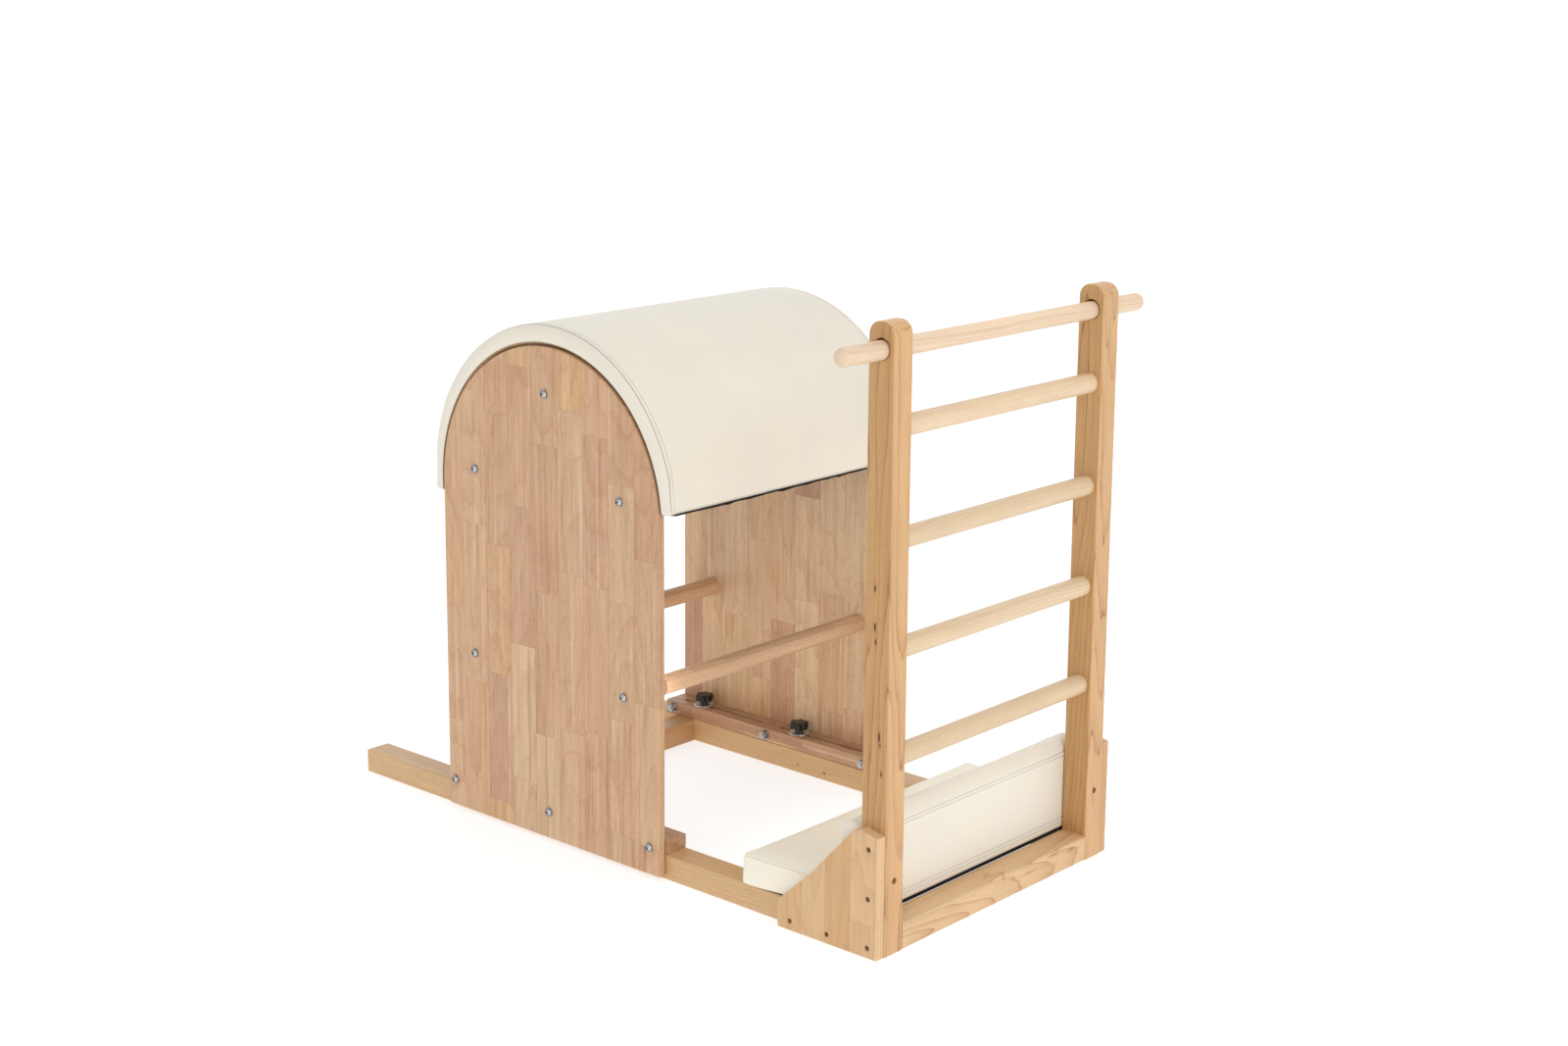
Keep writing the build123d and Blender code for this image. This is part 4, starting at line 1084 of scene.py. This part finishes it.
def foot_levels():
    """Rings from the underside to the crown: (z, inset, fraction to the medial line)."""
    low, top = FOOT_LOW_ROUND, FOOT_TOP_ROUND
    levels = [(FOOT_LOW, 6.0, f) for f in (1.0, 0.5)]
    for a in np.linspace(0, math.pi / 2, 4):
        levels.append((FOOT_LOW + low * (1 - math.cos(a)), low * (1 - math.sin(a)), 0.0))
    for z in np.linspace(FOOT_LOW + low, FOOT_TOP - top, 9)[1:]:
        levels.append((z, 0.0, 0.0))
    for a in np.linspace(math.pi / 2, 0, 6)[1:]:
        levels.append((FOOT_TOP - top * (1 - math.sin(math.pi / 2 - a)),
                       top * (1 - math.sin(a)), 0.0))
    for f in np.linspace(0, 1, 15)[1:]:
        levels.append((FOOT_TOP + CROWN * math.sin(f * math.pi / 2), top, f))
    return levels


def foot_pad():
    outline = foot_outline()
    middle_x = (FOOT_REAR + FOOT_FRONT) / 2
    medial = np.stack([np.full(len(outline), middle_x), np.clip(outline[:, 1], -200, 200)], axis=1)
    flat = np.array([[(x * MM, y * MM, z * MM)
                      for x, y in inset(outline, medial, distance, fraction)]
                     for z, distance, fraction in foot_levels()])
    pinned = np.zeros(flat.shape[:2], bool)
    pinned[:6] = True
    puffed = inflate(flat, pinned, pressure=2.4, cap=3.0 * MM, frames=16)
    lengths = ring_lengths(puffed, 8)
    grid, ring = refine_ring(puffed, lengths, [], step=7.0)

    # more rows across the top seam and the fainter line above it
    climb = np.linalg.norm(np.diff(grid[:, 30], axis=0), axis=1) * 1000
    run = np.concatenate([[0], np.cumsum(climb)])
    rows = np.arange(len(run))
    seam = float(np.interp(TOP_SEAM_ROW, rows, run))
    wanted = [float(i) for i in rows]
    for line in (seam, seam + SECOND_SEAM):
        for k in (-2.2, -1.2, -0.6, 0.0, 0.6, 1.2, 2.2):
            wanted.append(float(np.interp(line + k, run, rows)))
    wanted = np.array(sorted(set(np.round(wanted, 3))))
    wanted = wanted[spaced(wanted, 0.02)]
    wanted[-1] = len(run) - 1 - 1e-6
    grid = resample(grid, wanted, 0, False)
    run = np.interp(wanted, rows, run)
    # the last row closes the top on the medial line
    nearest = np.interp(ring, lengths, np.arange(len(lengths))).round().astype(int)
    grid[-1] = puffed[-1][np.minimum(nearest, puffed.shape[1] - 1)]
    grid[-1, :, 0] = middle_x * MM

    normal = outward_normals(grid, 10, 20, axis=0)
    up, around = np.meshgrid(run, ring, indexing="ij")
    depth = (groove(up, seam, depth=1.9, width=1.1)
             + groove(up, seam + SECOND_SEAM, depth=0.5, width=0.9))
    depth += (0.55 * hash_noise(grid[:, :, 0] / MM / 36.0,
                                grid[:, :, 1] / MM / 36.0 + up / 40.0, 23)
              + 0.14 * hash_noise(up / 9.0, around / 12.0, 25))
    depth[:3] = 0
    depth[-3:] = 0
    # the foot cover takes the brightened copy of the vinyl: painted light
    cover("foot_cover", sunk(grid, normal, depth), FOOT_VINYL_PAINTED_LIGHT, "base", "foot_pad")


# ------------------------------------------------------------------ dust covers
def sheet(name, x_span, y_span, counts, height, thickness, body, node):
    """Black fabric under a pad; height(x, y) gives its z in mm."""
    mesh = bmesh.new()
    xs = np.linspace(*x_span, counts[0])
    ys = np.linspace(*y_span, counts[1])
    quads(mesh, [[mesh.verts.new((x * MM, y * MM, height(x, y) * MM)) for y in ys] for x in xs])
    bmesh.ops.solidify(mesh, geom=mesh.faces[:], thickness=thickness * MM)
    made = object_from(mesh, name)
    shade_smooth(made)
    finish_piece(made, DUST, body, "dust_fabric", node)


def drum_sag(x, y):
    """Sags between its edges, with loose scallops along the +X edge."""
    from_front = (DRUM_X + 293) - x
    edge = min(x - (DRUM_X - 292), from_front, 300 - abs(y)) / 30.0
    sag = 1.6 * max(0.0, hash_noise(y / 26.0, x / 60.0, 33) + 0.3) * min(1.0, max(0.0, edge))
    scallop = 5.0 * max(0.0, hash_noise(y / 17.0 + 5.0, 0.5, 37) + 0.05)
    return drum_base(x) - 0.9 - sag - math.exp(-(from_front / 14.0) ** 2) * scallop


def kick_sag(x, y):
    """Drops towards the +X edge, down to a lowest level, so that the black cloth fills the gap
    under the pad: the real dust cover, and also a dark sheet standing for the shade in that gap.
    """
    lowest = 44.2 if abs(y) < 245 else 44.6
    drop = 3.4 * math.exp(-((KICK_FRONT - x) / 6.0) ** 2)
    return max(lowest, 47.5 - 0.3 * (1 + hash_noise(y / 21.0, x / 30.0, 41)) - drop)


def foot_sag(x, y):
    return 45.0 - 0.15 * (1 + hash_noise(y / 24.0, x / 24.0, 43))


drum_pad()
kick_pad()
foot_pad()
sheet("drum_underside", (DRUM_X - 296, DRUM_X + 296), (-300, 300), counts=(60, 90),
      height=drum_sag, thickness=0.5, body="carriage", node="drum_dust_cover")
sheet("kick_underside", (KICK_REAR + 3, KICK_FRONT - 0.3), (-289, 289), counts=(8, 100),
      height=kick_sag, thickness=0.5, body="base", node="kick_pad_dust_cover")
sheet("foot_underside", (FOOT_REAR + 2, FOOT_FRONT - 2), (-298, 298), counts=(30, 80),
      height=foot_sag, thickness=0.4, body="base", node="foot_pad_dust_cover")


# ------------------------------------------------------------------ floor, light, camera
def studio_floor():
    """One swept sheet: flat floor that curls up into the backdrop."""
    curl_start, curl = 6.0, 3.0
    profile = [(-14.0, 0.0), (-6.0, 0.0), (0.0, 0.0), (4.0, 0.0)]
    for i in range(13):
        a = i / 12 * math.pi / 2
        profile.append((curl_start + curl * math.sin(a), curl - curl * math.cos(a)))
    profile.append((curl_start + curl, 12.0))
    mesh = bmesh.new()
    quads(mesh, [[mesh.verts.new((x, y, z)) for x in np.linspace(-14, 14, 15)]
                 for y, z in profile])
    floor = object_from(mesh, "studio_floor", outward=False)
    shade_smooth(floor)
    floor.matrix_world = (Matrix.Rotation(math.radians(VIEW_YAW), 4, "Z")
                          @ Matrix.Translation((0, 0, -0.0004)))
    net = Net("studio_paper")
    cloud = net.noise(net.coords(), scale=3.0)
    net.surface(Base_Color=net.mix(cloud, (0.50, 0.50, 0.50, 1), (0.53, 0.53, 0.53, 1)),
                Roughness=0.9, Specular_IOR_Level=0.1,
                Emission_Color=(1, 1, 1, 1), Emission_Strength=0.66)
    floor.data.materials.append(net.material)


def studio_world():
    """White surroundings, brighter to the camera so that the backdrop stays plain white
    where an angle looks past the floor sheet."""
    world = bpy.data.worlds.new("studio")
    scene.world = world
    world.use_nodes = True
    tree = world.node_tree
    background = tree.nodes["Background"]
    background.inputs[0].default_value = (1.0, 1.0, 1.0, 1)
    path = tree.nodes.new("ShaderNodeLightPath")
    lift = tree.nodes.new("ShaderNodeMath")
    lift.operation = "MULTIPLY_ADD"
    lift.inputs[1].default_value = 0.34     # added for camera rays
    lift.inputs[2].default_value = 0.68     # strength for all rays
    tree.links.new(path.outputs["Is Camera Ray"], lift.inputs[0])
    tree.links.new(lift.outputs[0], background.inputs["Strength"])


def place_light(data, place, target):
    lamp = bpy.data.objects.new(data.name, data)
    lamp.location = place
    aim = Vector(target) - lamp.location
    lamp.rotation_euler = aim.to_track_quat("-Z", "Y").to_euler()
    scene.collection.objects.link(lamp)


def area(name, place, target, size, power):
    data = bpy.data.lights.new(name, "AREA")
    data.shape = "RECTANGLE"
    data.size, data.size_y = size
    data.energy = power
    place_light(data, place, target)


def ladder_spot():
    """A soft narrow spot over the ladder."""
    data = bpy.data.lights.new("ladder_top", "SPOT")
    data.energy = 62.0
    data.spot_size = math.radians(19)
    data.spot_blend = 0.7
    data.shadow_soft_size = 0.35
    place_light(data, place=(0.66, -0.12, 3.3), target=(0.50, 0, 0.1))


def add_camera():
    data = bpy.data.cameras.new("camera")
    camera = bpy.data.objects.new("camera", data)
    scene.collection.objects.link(camera)
    yaw, pitch, roll = math.radians(VIEW_YAW), math.radians(11.63), math.radians(0.99)
    back = Vector((math.sin(yaw) * math.cos(pitch), -math.cos(yaw) * math.cos(pitch),
                   math.sin(pitch)))
    forward = -back
    level = forward.cross(Vector((0, 0, 1))).normalized()
    upright = level.cross(forward)
    right = level * math.cos(roll) + upright * math.sin(roll)
    up = -level * math.sin(roll) + upright * math.cos(roll)
    place = Vector((2.9341, -3.0891, 1.6174))
    rows = [(right[i], up[i], back[i], place[i]) for i in range(3)]
    camera.matrix_world = Matrix((*rows, (0, 0, 0, 1)))
    data.sensor_width = 36.0
    data.lens = 55.2681
    data.shift_x = -0.06784375
    data.shift_y = -0.0638375
    data.clip_end = 60
    scene.camera = camera


studio_floor()
studio_world()
area("key", place=(4.2, -1.2, 2.2), target=(0, 0, 0.45), size=(2.6, 2.2), power=42)
area("fill", place=(-1.6, -4.2, 2.2), target=(0, 0, 0.5), size=(3.0, 2.4), power=6)
area("top", place=(0.0, 0.4, 4.2), target=(0, 0, 0.3), size=(3.2, 3.2), power=12)
ladder_spot()
area("inner", place=(-0.08, -0.24, 0.44), target=(-0.10, 0.30, 0.46), size=(0.42, 0.42),
     power=0.75)
add_camera()
scene.view_settings.view_transform = "Standard"
scene.view_settings.look = "None"
